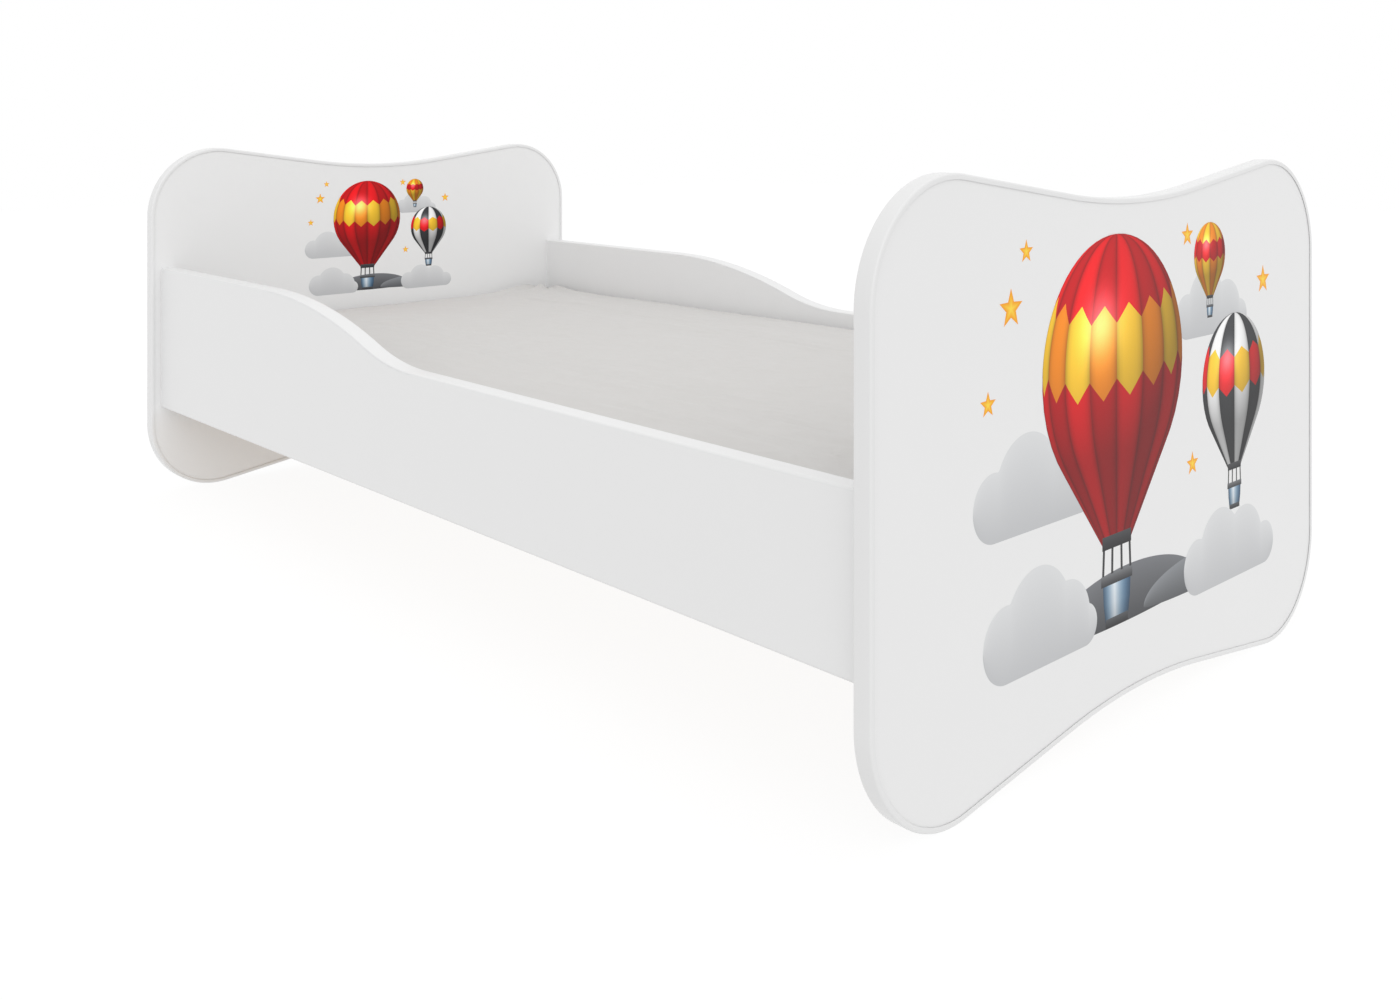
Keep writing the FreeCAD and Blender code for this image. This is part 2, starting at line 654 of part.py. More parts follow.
def make_mattress():
    """A plain foam slab, its padded cover in two halves, and the zip that joins them."""
    core = new_body("mattress_core")
    pad(core, plan(core, "slab", "dims.foam_base", "dims.foam_inset"), "dims.foam_top - dims.foam_base")
    base = make_cover_half("mattress_cover_base", base_levels() + [("dims.zip_level", "0")],
                           "dims.zip_level", "dims.zip_level - dims.foam_base + dims.cover_play", False)
    top = make_cover_half("mattress_cover_top", [("dims.zip_top", "0")] + top_levels(),
                          "dims.zip_top", "dims.foam_top - dims.zip_top + dims.cover_play", True)
    zip_tape = new_body("mattress_zip")
    ring = plan(zip_tape, "ring", "dims.zip_level", "0")
    round_rectangle(ring, "dims.mattress_length - 2 * dims.zip_thickness",
                    "dims.mattress_width - 2 * dims.zip_thickness",
                    "dims.mattress_corner - dims.zip_thickness")
    pad(zip_tape, ring, "dims.zip_height")
    pieces = [core, base, top, zip_tape]
    for body in pieces:
        place(body, z="dims.mattress_base")
    return pieces


pieces = make_board("foot", 0) + make_board("head", 180)
pieces += make_side("left", -1) + make_side("right", 1)
pieces += make_slats() + [make_tape("left", -1), make_tape("right", 1)]
pieces += [make_dowels(), make_cam_bolts(), make_cam_locks(), make_cam_caps()]
pieces += make_mattress()
doc.recompute()

for thing in doc.Objects:
    if "Invalid" in thing.State or "Error" in thing.State:
        raise RuntimeError(f"{thing.Label} failed: {thing.State}")
for piece in pieces:
    if piece.Shape.isNull() or not piece.Shape.isValid():
        raise RuntimeError(f"{piece.Label} has no valid shape")

os.makedirs("parts", exist_ok=True)
for piece in pieces:
    piece.Shape.exportStep(f"parts/{piece.Label}.step")
    box = piece.Shape.BoundBox
    print(f"{piece.Label}: {len(piece.Shape.Solids)} solids, "
          f"{box.XLength:.1f} x {box.YLength:.1f} x {box.ZLength:.1f}, {piece.Shape.Volume / 1000:.1f} cm3")
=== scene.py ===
# %% [markdown]
# # A child's bed with wavy boards
# The bed is flat-pack furniture: white melamine-faced boards with a soft trim round the head
# and foot, side panels that step down in a wave, a slatted base and a foam mattress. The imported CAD
# model brings every rigid piece at its real size. This lesson dresses it: it swaps the plain trim,
# edge bands and mattress for finer surfaces, adds the printed picture, and gives every piece a
# material that starts from what the real one is made of.

# %% Load the frame
import bmesh
import bpy
import math
import mathutils
import numpy as np
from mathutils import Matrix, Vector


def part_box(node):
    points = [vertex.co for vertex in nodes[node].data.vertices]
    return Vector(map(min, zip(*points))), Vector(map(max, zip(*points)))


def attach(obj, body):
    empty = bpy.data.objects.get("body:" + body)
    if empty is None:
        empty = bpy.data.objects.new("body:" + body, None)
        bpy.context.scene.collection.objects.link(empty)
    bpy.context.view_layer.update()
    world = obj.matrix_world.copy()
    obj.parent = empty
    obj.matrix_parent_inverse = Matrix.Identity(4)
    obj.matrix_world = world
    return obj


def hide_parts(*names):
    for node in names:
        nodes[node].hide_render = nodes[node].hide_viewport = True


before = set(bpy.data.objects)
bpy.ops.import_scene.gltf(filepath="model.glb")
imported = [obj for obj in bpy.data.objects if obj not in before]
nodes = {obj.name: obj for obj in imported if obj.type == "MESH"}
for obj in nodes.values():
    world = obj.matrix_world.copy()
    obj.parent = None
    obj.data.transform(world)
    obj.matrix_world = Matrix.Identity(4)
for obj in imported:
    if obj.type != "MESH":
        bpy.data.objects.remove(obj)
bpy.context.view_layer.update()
scene = bpy.context.scene
MM = 0.001

# %% [markdown]
# ## Helpers for colours, nodes and meshes
# Blender's shaders work in linear light, while colours are usually noted as sRGB hex values, so one
# function converts them. One more adds a node to a material and links it, which keeps the node trees
# below readable. Blender's wave texture needs its own scale for stripes of a real width. The last
# three turn numpy arrays into meshes, in which a grid of points becomes quads, and print their size.


# %% Colour, node and mesh helpers
def srgb(hex_colour):
    """The three parts of a hex colour, each from 0 to 1."""
    return np.array([int(hex_colour[i:i + 2], 16) for i in (1, 3, 5)]) / 255


def to_linear(parts):
    """sRGB to linear light: c / 12.92 below 0.04045, else ((c + 0.055) / 1.055) ^ 2.4."""
    return np.where(parts <= 0.04045, parts / 12.92, ((parts + 0.055) / 1.055) ** 2.4)


def linear(hex_colour):
    """A hex colour as the four linear numbers that a colour socket takes."""
    return (*to_linear(srgb(hex_colour)), 1)


def add(material, kind, settings=None, inputs=None):
    """Adds a node. settings are its properties; inputs are values, or sockets that get linked."""
    node = material.node_tree.nodes.new(kind)
    for name, setting in (settings or {}).items():
        setattr(node, name, setting)
    for name, value in (inputs or {}).items():
        if isinstance(value, bpy.types.NodeSocket):
            material.node_tree.links.new(value, node.inputs[name])
        else:
            node.inputs[name].default_value = value
    return node


def new_material(name, **sockets):
    """A material with one Principled shader. Its even values are set on the shader's own sockets."""
    material = bpy.data.materials.new(name)
    material.use_nodes = True
    shader = material.node_tree.nodes["Principled BSDF"]
    for socket, value in sockets.items():
        shader.inputs[socket.replace("_", " ")].default_value = value
    return material, shader


def link(material, socket, target):
    """Links an output socket to an input."""
    material.node_tree.links.new(socket, target)


def wave_scale(spacing_mm):
    """Scale of a wave texture, which repeats every tau / 20 / scale, for stripes of this spacing."""
    return math.tau / 20 / (spacing_mm * MM)


def grid_faces(rows, columns, close_rows=False, close_columns=False):
    """Quads between neighbours of a grid in which point (i, j) has the number i * columns + j."""
    i, j = np.meshgrid(np.arange(rows if close_rows else rows - 1),
                       np.arange(columns if close_columns else columns - 1), indexing="ij")
    below, beside = (i + 1) % rows, (j + 1) % columns
    corners = [i * columns + j, below * columns + j, below * columns + beside, i * columns + beside]
    return np.stack(corners, -1).reshape(-1, 4)


def mesh_piece(name, points, faces, material, smooth=True):
    """A mesh object from an array of points and a list of faces, with its place in its mesh."""
    mesh = bpy.data.meshes.new(name)
    mesh.from_pydata(np.reshape(points, (-1, 3)).tolist(), [], [list(map(int, face)) for face in faces])
    mesh.polygons.foreach_set("use_smooth", np.full(len(mesh.polygons), smooth))
    mesh.materials.append(material)
    piece = bpy.data.objects.new(name, mesh)
    scene.collection.objects.link(piece)
    return piece


def report(piece):
    """Prints the size of a finished piece."""
    size = [round(x / MM) for x in piece.dimensions]
    print(f"{piece.name}: {len(piece.data.polygons)} faces, {size} mm")


# %% [markdown]
# ## White boards, trim and bands
# The boards are chipboard faced with melamine paper: satin white, with a fine pearl grain that only
# breaks up the highlights. The trim is extruded soft PVC, a little glossier. The edge bands are ABS,
# glued on and rounded over. All three are close to white, so what tells them apart is gloss and
# grain, not colour.

# %% White materials
TONE_WIDTH = 90 * MM
GLOSS_SPREAD = 0.05


def satin_white(name, hex_light, hex_dark, roughness, grain_mm, relief_mm):
    """A white surface with clouds of tone a hand wide and a fine grain of the given size."""
    material, shader = new_material(name, IOR=1.5)
    place = add(material, "ShaderNodeTexCoord").outputs["Object"]
    clouds = add(material, "ShaderNodeTexNoise", inputs={
        "Vector": place, "Scale": 1 / TONE_WIDTH, "Detail": 3})
    tone = add(material, "ShaderNodeMix", {"data_type": "RGBA"}, {
        "Factor": clouds.outputs["Fac"], 6: linear(hex_dark), 7: linear(hex_light)})
    link(material, tone.outputs[2], shader.inputs["Base Color"])
    grain = add(material, "ShaderNodeTexNoise", inputs={
        "Vector": place, "Scale": 1 / (grain_mm * MM), "Detail": 2})
    gloss = add(material, "ShaderNodeMapRange", inputs={
        "Value": grain.outputs["Fac"],
        "To Min": roughness - GLOSS_SPREAD, "To Max": roughness + GLOSS_SPREAD})
    link(material, gloss.outputs["Result"], shader.inputs["Roughness"])
    relief = add(material, "ShaderNodeBump", inputs={
        "Height": grain.outputs["Fac"], "Distance": relief_mm * MM, "Strength": 0.5})
    link(material, relief.outputs["Normal"], shader.inputs["Normal"])
    return material


# Pressed pearl grain, about 1.5 mm, gives the laminate its satin sheen
melamine = satin_white("white_melamine_laminate", "#E8E8E8", "#E7E7E7", 0.38, 1.5, 0.05)
# Extruded PVC is smooth, with faint drawing marks, and shines more
soft_pvc = satin_white("white_soft_pvc_trim", "#E4E4E4", "#E3E3E3", 0.30, 4, 0.03)
# ABS edging, scraped and buffed after gluing
abs_band = satin_white("white_abs_edge_band", "#E6E6E6", "#E4E4E4", 0.34, 2, 0.03)
# Injection-moulded caps with a spark-eroded texture of about half a millimetre
moulded_cap = satin_white("white_moulded_polyethylene", "#EBEBEB", "#E8E8E8", 0.45, 0.6, 0.05)
print("white finishes:", [m.name for m in (melamine, soft_pvc, abs_band, moulded_cap)])

# %% [markdown]
# ## Pine, webbing and fittings
# The slats and battens are planed pine: long straight grain in yellow-brown, pale spring wood and
# thin darker summer wood. Noise that is stretched along the board gives the fibres, and a second,
# wider one the rings. The slats run across the bed and the battens along it, so the grain direction
# is a setting. The webbing is woven polypropylene, and the fittings are zinc-plated steel.

# %% Pine, beech, webbing and zinc
GRAIN_STRETCH = 60


def planed_wood(name, along, hex_pale, hex_ring, ring_mm):
    """Grain along one axis: noise with cells ring_mm wide that are sixty times as long as wide."""
    material, shader = new_material(name, Roughness=0.62, IOR=1.45)
    place = add(material, "ShaderNodeTexCoord").outputs["Object"]
    stretch = [1 / (ring_mm * MM)] * 3
    stretch["XYZ".index(along)] /= GRAIN_STRETCH
    lie = add(material, "ShaderNodeMapping", inputs={"Vector": place, "Scale": stretch})
    rings = add(material, "ShaderNodeTexNoise", inputs={
        "Vector": lie.outputs["Vector"], "Scale": 0.5, "Detail": 3, "Distortion": 0.6})
    fibres = add(material, "ShaderNodeTexNoise", inputs={
        "Vector": lie.outputs["Vector"], "Scale": 6, "Detail": 4})
    ramp = add(material, "ShaderNodeValToRGB", inputs={"Fac": rings.outputs["Fac"]})
    for stop, position, colour in zip((0, 1), (0.38, 0.62), (hex_ring, hex_pale)):
        ramp.color_ramp.elements[stop].position = position
        ramp.color_ramp.elements[stop].color = linear(colour)
    streaks = add(material, "ShaderNodeMapRange", inputs={
        "Value": fibres.outputs["Fac"], "To Min": 0.88, "To Max": 1.06})
    tone = add(material, "ShaderNodeVectorMath", {"operation": "SCALE"}, {
        0: ramp.outputs["Color"], "Scale": streaks.outputs["Result"]})
    link(material, tone.outputs["Vector"], shader.inputs["Base Color"])
    relief = add(material, "ShaderNodeBump", inputs={
        "Height": fibres.outputs["Fac"], "Distance": 0.15 * MM, "Strength": 0.5})
    link(material, relief.outputs["Normal"], shader.inputs["Normal"])
    return material


def woven_webbing():
    """Polypropylene tape: ribs across it 2 mm apart, drawn a little coarse so that they show."""
    material, shader = new_material("woven_polypropylene_webbing", Roughness=0.75)
    place = add(material, "ShaderNodeTexCoord").outputs["Object"]
    ribs = add(material, "ShaderNodeTexWave", {"bands_direction": "X"}, {
        "Vector": place, "Scale": wave_scale(2), "Distortion": 0.4})
    tone = add(material, "ShaderNodeMix", {"data_type": "RGBA"}, {
        "Factor": ribs.outputs["Fac"], 6: linear("#BDB5A4"), 7: linear("#DAD3C4")})
    link(material, tone.outputs[2], shader.inputs["Base Color"])
    relief = add(material, "ShaderNodeBump", inputs={
        "Height": ribs.outputs["Fac"], "Distance": 0.4 * MM, "Strength": 0.8})
    link(material, relief.outputs["Normal"], shader.inputs["Normal"])
    return material


def zinc_plate():
    """Passivated zinc on steel: a grey metal with blotches about 3 mm wide that shine unevenly."""
    material, shader = new_material("passivated_zinc_plate", Metallic=1.0)
    place = add(material, "ShaderNodeTexCoord").outputs["Object"]
    blotches = add(material, "ShaderNodeTexNoise", inputs={
        "Vector": place, "Scale": 1 / (3 * MM), "Detail": 3})
    tone = add(material, "ShaderNodeMix", {"data_type": "RGBA"}, {
        "Factor": blotches.outputs["Fac"], 6: linear("#A9AAA6"), 7: linear("#C9CAC8")})
    link(material, tone.outputs[2], shader.inputs["Base Color"])
    gloss = add(material, "ShaderNodeMapRange", inputs={
        "Value": blotches.outputs["Fac"], "To Min": 0.28, "To Max": 0.45})
    link(material, gloss.outputs["Result"], shader.inputs["Roughness"])
    return material


pine_across = planed_wood("planed_pine_slats", "Y", "#E3C699", "#CDA471", 9)
pine_along = planed_wood("planed_pine_battens", "X", "#DFC092", "#C99F6A", 9)
beech = planed_wood("turned_beech_dowels", "X", "#D2A679", "#BE8E5F", 3)
webbing = woven_webbing()
zinc = zinc_plate()
print("wood, cloth and metal:", [m.name for m in (pine_across, pine_along, beech, webbing, zinc)])

# %% [markdown]
# ## Dress the CAD pieces that keep their shape
# A flat board, a slat or a bolt is already right in the CAD model, so it only needs its material.


# %% Materials on the CAD nodes
FINISHES = {
    "board_panel": melamine,
    "side_panel": melamine,
    "support_batten": pine_along,
    "slat_tape": webbing,
    "connector_dowels": beech,
    "cam_bolts": zinc,
    "cam_locks": zinc,
    "cam_caps": moulded_cap,
}
finishes = {name: next((f for ending, f in FINISHES.items() if name.endswith(ending)), None)
            for name in nodes}
finishes.update({name: pine_across for name in nodes if name.startswith("slat_")})
dressed = [name for name, finish in finishes.items() if finish]
for name in dressed:
    nodes[name].data.materials.clear()
    nodes[name].data.materials.append(finishes[name])
print(len(dressed), "CAD nodes dressed; left for new pieces:", sorted(set(nodes) - set(dressed)))

# %% [markdown]
# ## The boards' edge trim
# The trim is a C-shaped PVC channel that grips the board's edge: a flat back with rounded corners,
# and a narrow lip on each face. It could be a bevelled curve, but a profile carried along the board's
# outline is exact, and it follows the real corner and dip radii. The outline is arcs joined by
# straight flanks, so only the arcs need points. Each lip ends in a round nose that stands a hair's
# breadth off the board, and that slit draws the fine line that runs round its face.

# %% Outline of a board
BOARD_WIDTH = 895 * MM
CORNER_RADIUS = 120 * MM
DIP_DEPTH = 35 * MM
DIP_FLANK = 178 * MM
CORE_THICKNESS = 18 * MM
TRIM_WEB = 2 * MM
TRIM_ROUND = 2.4 * MM
LIP_REACH = 6 * MM
LIP_GAP = 0.4 * MM
LIP_UNDERCUT = 2 * MM
FOOT_PRESS = 0.5 * MM
SHARP = math.radians(40)

trim_low, trim_high = (np.array(corner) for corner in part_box("footboard_edge_trim"))
TRIM_THICKNESS = trim_high[0] - trim_low[0]
board_top = trim_high[2]


def arc(centre, radius, start, end, count):
    """Points on an arc between two angles in degrees, and the unit vectors from its centre."""
    angle = np.radians(np.linspace(start, end, count))
    outward = np.stack([np.cos(angle), np.sin(angle)], -1)
    return np.asarray(centre) + radius * outward, outward


def board_outline():
    """The trim's outside seen along the bed, as (y, z) points with outward normals.

    Four corner arcs and two hollow arcs alternate. A flank that falls by the dip's depth leaves its
    corner at the angle t with tan(t / 2) = depth / (span + flank), and the hollow that continues it
    has the radius (span - flank cos t) / sin t - corner radius."""
    span = BOARD_WIDTH / 2 - CORNER_RADIUS
    half_tan = DIP_DEPTH / (span + DIP_FLANK)
    slope = 2 * math.atan(half_tan)
    hollow = (span - DIP_FLANK * math.cos(slope)) / math.sin(slope) - CORNER_RADIUS
    lean = math.degrees(slope)
    low, high = CORNER_RADIUS - FOOT_PRESS, board_top - CORNER_RADIUS
    dip_low = DIP_DEPTH - FOOT_PRESS - hollow
    dip_high = board_top - DIP_DEPTH + hollow
    stretches = [
        (arc((span, low), CORNER_RADIUS, -90 - lean, 0, 26), 1),
        (arc((span, high), CORNER_RADIUS, 0, 90 + lean, 26), 1),
        (arc((0, dip_high), hollow, -90 + lean, -90 - lean, 25), -1),
        (arc((-span, high), CORNER_RADIUS, 90 - lean, 180, 26), 1),
        (arc((-span, low), CORNER_RADIUS, 180, 270 + lean, 26), 1),
        (arc((0, dip_low), hollow, 90 + lean, 90 - lean, 25), -1),
    ]
    points = np.concatenate([stretch[0] for stretch, _ in stretches])
    normals = np.concatenate([stretch[1] * turn for stretch, turn in stretches])
    return points, normals


outline, outline_normals = board_outline()
print("board outline:", len(outline), "points,", np.ptp(outline, axis=0).round(4), "m")


# %% Profile of the trim, carried round the boards
def trim_profile():
    """The channel's section as (depth from the outside, offset across the board), a closed loop.

    The back's corners are quarter rounds of radius r. Each lip stands a little off the board at its
    end, which is half a round: depth = reach - n + n sin(t), offset = middle of the lip + n cos(t)."""
    half, core = TRIM_THICKNESS / 2, CORE_THICKNESS / 2
    nose = (half - core - LIP_GAP) / 2
    turn = np.radians(np.linspace(0, 90, 9))
    corner = np.stack([TRIM_ROUND * (1 - np.sin(turn)), half - TRIM_ROUND * (1 - np.cos(turn))], -1)
    bend = np.radians(np.linspace(0, 180, 11))
    tip = np.stack([LIP_REACH - nose + nose * np.sin(bend), half - nose + nose * np.cos(bend)], -1)
    slit = LIP_REACH - LIP_UNDERCUT
    inside = [[slit, core + LIP_GAP], [slit, core], [TRIM_WEB, core]]
    one_side = np.concatenate([corner[::-1], tip, inside])
    return np.concatenate([one_side, one_side[::-1] * (1, -1)])


profile = trim_profile()


def make_trim(board):
    """The trim of one board: each outline point carries the profile inward along its normal."""
    low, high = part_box(f"{board}_edge_trim")
    middle = (low[0] + high[0]) / 2
    inward = outline[:, None, :] - outline_normals[:, None, :] * profile[None, :, :1]
    across = np.broadcast_to(middle + profile[None, :, 1], inward.shape[:2])
    points = np.dstack([across, inward[..., 0], np.maximum(inward[..., 1], 0)])
    faces = grid_faces(len(outline), len(profile), close_rows=True, close_columns=True)
    trim = mesh_piece(f"{board}_lipped_trim", points, faces, soft_pvc)
    trim.data.set_sharp_from_angle(angle=SHARP)
    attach(trim, "frame")
    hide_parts(f"{board}_edge_trim")
    report(trim)


for board in ("headboard", "footboard"):
    make_trim(board)

# %% [markdown]
# ## The rounded edge bands of the sides
# The top edge of a side runs level, rolls over a round arc, swings out of a hollow one and goes on
# level to the foot. The band is a 3 mm ABS strip with both long edges rounded over, so it is again a
# profile carried along a path, this time an open one with flat ends.

# %% Wave and bands
WAVE_START = 414 * MM
WAVE_CREST = 950 * MM
WAVE_HOLLOW = 390 * MM
BAND_THICKNESS = 3 * MM
BAND_ROUND = 2.4 * MM

side_low, side_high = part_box("left_side_panel")
SIDE_THICKNESS = side_high[1] - side_low[1]
band_base, band_top = (corner[2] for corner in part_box("left_side_top_band"))
wave_drop = band_top - band_base - BAND_THICKNESS


def wave_path():
    """The side's top edge as (x, z) points with upward normals, from the head to the foot.

    Two arcs of one sweep s meet in the middle, where (crest + hollow) (1 - cos s) is the drop."""
    sweep = math.degrees(math.acos(1 - wave_drop / (WAVE_CREST + WAVE_HOLLOW)))
    start = side_low[0] + WAVE_START
    run = (WAVE_CREST + WAVE_HOLLOW) * math.sin(math.radians(sweep))
    low_z = band_top - wave_drop
    crest, up = arc((start, band_top - WAVE_CREST), WAVE_CREST, 90, 90 - sweep, 24)
    hollow, down = arc((start + run, low_z + WAVE_HOLLOW), WAVE_HOLLOW, 270 - sweep, 270, 24)
    ends = np.array([[side_low[0], band_top], [side_high[0], low_z]])
    points = np.concatenate([ends[:1], crest, hollow[1:], ends[1:]])
    normals = np.concatenate([[[0, 1]], up, -down[1:], [[0, 1]]])
    return points, normals


def band_profile():
    """Section of the band as (depth, offset): a strip whose two outer corners are quarter rounds."""
    half = SIDE_THICKNESS / 2
    turn = np.radians(np.linspace(0, 90, 8))
    corner = np.stack([BAND_ROUND * (1 - np.sin(turn)), half - BAND_ROUND * (1 - np.cos(turn))], -1)
    foot = np.array([[BAND_THICKNESS, half]])
    one_side = np.concatenate([foot, corner])
    return np.concatenate([one_side, one_side[::-1] * (1, -1)])


def make_band(side, edge, path, normals):
    """One band: the profile carried along a path of (x, z) points, with a flat face at each end."""
    node = f"{side}_side_{edge}_band"
    low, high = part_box(node)
    section = band_profile()
    place = path[:, None, :] - normals[:, None, :] * section[None, :, :1]
    across = np.broadcast_to((low[1] + high[1]) / 2 - section[None, :, 1], place.shape[:2])
    points = np.dstack([place[..., 0], across, place[..., 1]])
    count = len(section)
    last = (len(path) - 1) * count
    faces = grid_faces(len(path), count, close_columns=True).tolist()
    faces += [list(range(count)), list(range(last + count - 1, last - 1, -1))]
    if normals[0][1] < 0:
        faces = [face[::-1] for face in faces]
    band = mesh_piece(f"{side}_{edge}_rounded_band", points, faces, abs_band)
    band.data.set_sharp_from_angle(angle=SHARP)
    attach(band, "frame")
    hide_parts(node)
    report(band)


base_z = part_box("left_side_bottom_band")[0][2]
level = np.array([[side_low[0], base_z], [side_high[0], base_z]])
downward = np.array([[0, -1], [0, -1]])
for edge, path in (("top", wave_path()), ("bottom", (level, downward))):
    for side in ("left", "right"):
        make_band(side, edge, *path)

# %% [markdown]
# ## The mattress
# A foam slab in a padded cotton cover. The cover is soft, so it is simulated as cloth: a plain form
# is remeshed into even quads and blown up by a little pressure, and the cloth at the corners gets
# some spare width, which gathers into the short creases that a sewn corner has. The base is pinned,
# because it lies on the slats, and so is the line of the zip, whose tape is stiff. Each point may
# move only a few millimetres from the plain form, so that the cover stays clear of the bed.

# %% Form of the mattress before the cloth moves
mattress_low, mattress_high = (np.array(corner) for corner in (
    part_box("mattress_cover_base")[0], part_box("mattress_cover_top")[1]))
MATTRESS_CORNER = 30 * MM
TOP_ROUND = 14 * MM
BASE_ROUND = 12 * MM
CROWN = 3 * MM
CROWN_RUN = 150 * MM
SIDE_INSET = 3 * MM
SWELL_ROOM = 2 * MM


def ring(inset, level_z):
    """A rectangle with round corners, drawn in from the mattress's plan, at one level."""
    half = (mattress_high - mattress_low)[:2] / 2 - inset
    middle = (mattress_high + mattress_low)[:2] / 2
    corners = [arc(middle + (half - MATTRESS_CORNER) * sign, MATTRESS_CORNER, turn, turn + 90, 7)[0]
               for sign, turn in (((1, 1), 0), ((-1, 1), 90), ((-1, -1), 180), ((1, -1), 270))]
    plan = np.concatenate(corners)
    return np.column_stack([plan, np.full(len(plan), level_z)])


def mattress_form():
    """Rings from the base up: a quarter round, the side, a quarter round and a parabolic crown."""
    base, top = mattress_low[2], mattress_high[2] - CROWN - SWELL_ROOM
    turn = np.radians(np.linspace(0, 90, 7))
    rings = [ring(SIDE_INSET + BASE_ROUND * (1 - math.sin(t)), base + BASE_ROUND * (1 - math.cos(t)))
             for t in turn]
    rings += [ring(SIDE_INSET + TOP_ROUND * (1 - math.cos(t)), top - TOP_ROUND * (1 - math.sin(t)))
              for t in turn]
    rings += [ring(SIDE_INSET + TOP_ROUND + CROWN_RUN * s, top + CROWN * (1 - (1 - s) ** 2))
              for s in np.linspace(0, 1, 6)[1:]]
    points = np.stack(rings)
    count = points.shape[1]
    faces = [face[::-1] for face in grid_faces(len(rings), count, close_columns=True).tolist()]
    last = (len(rings) - 1) * count
    return points, faces + [list(range(count))[::-1], list(range(last, last + count))]


form_points, form_faces = mattress_form()
print("mattress form:", form_points.shape, "points")

# %% [markdown]
# ## The mattress cover's cloth
# The cover is a plain-woven cotton and polyester ticking in a warm light grey. Warp and weft cross
# about every half millimetre, which no picture of a whole bed can show, so the weave is drawn five
# times as coarse. Its relief stays low, and a soft sheen stands for the loose fibre ends.


# %% Ticking and zip tape
def woven_ticking():
    """Threads along X, Y and Z as bands 2.5 mm apart; their sum is the weave's relief and tone."""
    material, shader = new_material(
        "woven_cotton_ticking", Roughness=0.9, Sheen_Weight=0.25, Sheen_Roughness=0.5)
    place = add(material, "ShaderNodeTexCoord").outputs["Object"]
    threads = [add(material, "ShaderNodeTexWave", {"bands_direction": axis}, {
        "Vector": place, "Scale": wave_scale(2.5), "Distortion": 0.5}).outputs["Fac"]
        for axis in "XYZ"]
    cross = add(material, "ShaderNodeMath", {"operation": "ADD"}, {0: threads[0], 1: threads[1]})
    weave = add(material, "ShaderNodeMath", {"operation": "ADD"}, {
        0: cross.outputs["Value"], 1: threads[2]})
    slubs = add(material, "ShaderNodeTexNoise", inputs={
        "Vector": place, "Scale": 1 / (60 * MM), "Detail": 4})
    blend = add(material, "ShaderNodeMath", {"operation": "MULTIPLY_ADD"}, {
        0: weave.outputs["Value"], 1: 0.12, 2: slubs.outputs["Fac"]})
    tone = add(material, "ShaderNodeMix", {"data_type": "RGBA"}, {
        "Factor": blend.outputs["Value"], 6: linear("#C7C5C2"), 7: linear("#CBC9C7")})
    link(material, tone.outputs[2], shader.inputs["Base Color"])
    relief = add(material, "ShaderNodeBump", inputs={
        "Height": weave.outputs["Value"], "Distance": 0.12 * MM, "Strength": 0.5})
    link(material, relief.outputs["Normal"], shader.inputs["Normal"])
    return material


def coil_zip():
    """Polyester tape with a nylon coil: turns 2.5 mm apart along the zip, read from its UV map."""
    material, shader = new_material("nylon_coil_zip", Roughness=0.5)
    along = add(material, "ShaderNodeUVMap", {"uv_map": "zip"}).outputs["UV"]
    turns = add(material, "ShaderNodeTexWave", {"bands_direction": "X"}, {
        "Vector": along, "Scale": wave_scale(2.5)})
    tone = add(material, "ShaderNodeMix", {"data_type": "RGBA"}, {
        "Factor": turns.outputs["Fac"], 6: linear("#A9A7A4"), 7: linear("#CFCDCA")})
    link(material, tone.outputs[2], shader.inputs["Base Color"])
    relief = add(material, "ShaderNodeBump", inputs={
        "Height": turns.outputs["Fac"], "Distance": 0.5 * MM, "Strength": 0.8})
    link(material, relief.outputs["Normal"], shader.inputs["Normal"])
    return material


ticking = woven_ticking()
zip_coil = coil_zip()
print("mattress finishes:", ticking.name, zip_coil.name)

# %% Remesh the form and draw the sides in
VOXEL = 8 * MM
SIDE_PULL = 2 * MM
PULL_POWER = 8
FINE_REACH = 120 * MM
half_plan = (mattress_high - mattress_low)[:2] / 2


def points_of(mesh):
    """All vertex places of a mesh as one array."""
    flat = np.empty(len(mesh.vertices) * 3)
    mesh.vertices.foreach_get("co", flat)
    return flat.reshape(-1, 3)


def corner_gap(points):
    """How far each point is from the nearest upright corner of the mattress, seen from above."""
    return np.linalg.norm(half_plan - np.abs(points[:, :2]), axis=1)


def pulled_in(points):
    """Moves the sides in between the corners: by pull (1 - s^2) at s of the way to a corner.

    A high power of the distance from the middle keeps the move to the rim."""
    share = points[:, :2] / half_plan
    reach = np.clip(np.abs(share), 0, 1) ** PULL_POWER * np.sign(share)
    sag = 1 - np.clip(share[:, ::-1] ** 2, 0, 1)
    return points - np.column_stack([SIDE_PULL * reach * sag, np.zeros(len(points))])


def halve_corner_quads(mesh):
    """Cuts the quads near the corners in four, because the creases there are narrower than a voxel."""
    points = points_of(mesh)
    near = (corner_gap(points) < FINE_REACH) & (points[:, 2] > mattress_low[2] + 2 * BASE_ROUND)
    pattern = bmesh.new()
    pattern.from_mesh(mesh)
    edges = [edge for edge in pattern.edges if all(near[vertex.index] for vertex in edge.verts)]
    bmesh.ops.subdivide_edges(pattern, edges=edges, cuts=1, use_grid_fill=True)
    pattern.to_mesh(mesh)
    pattern.free()


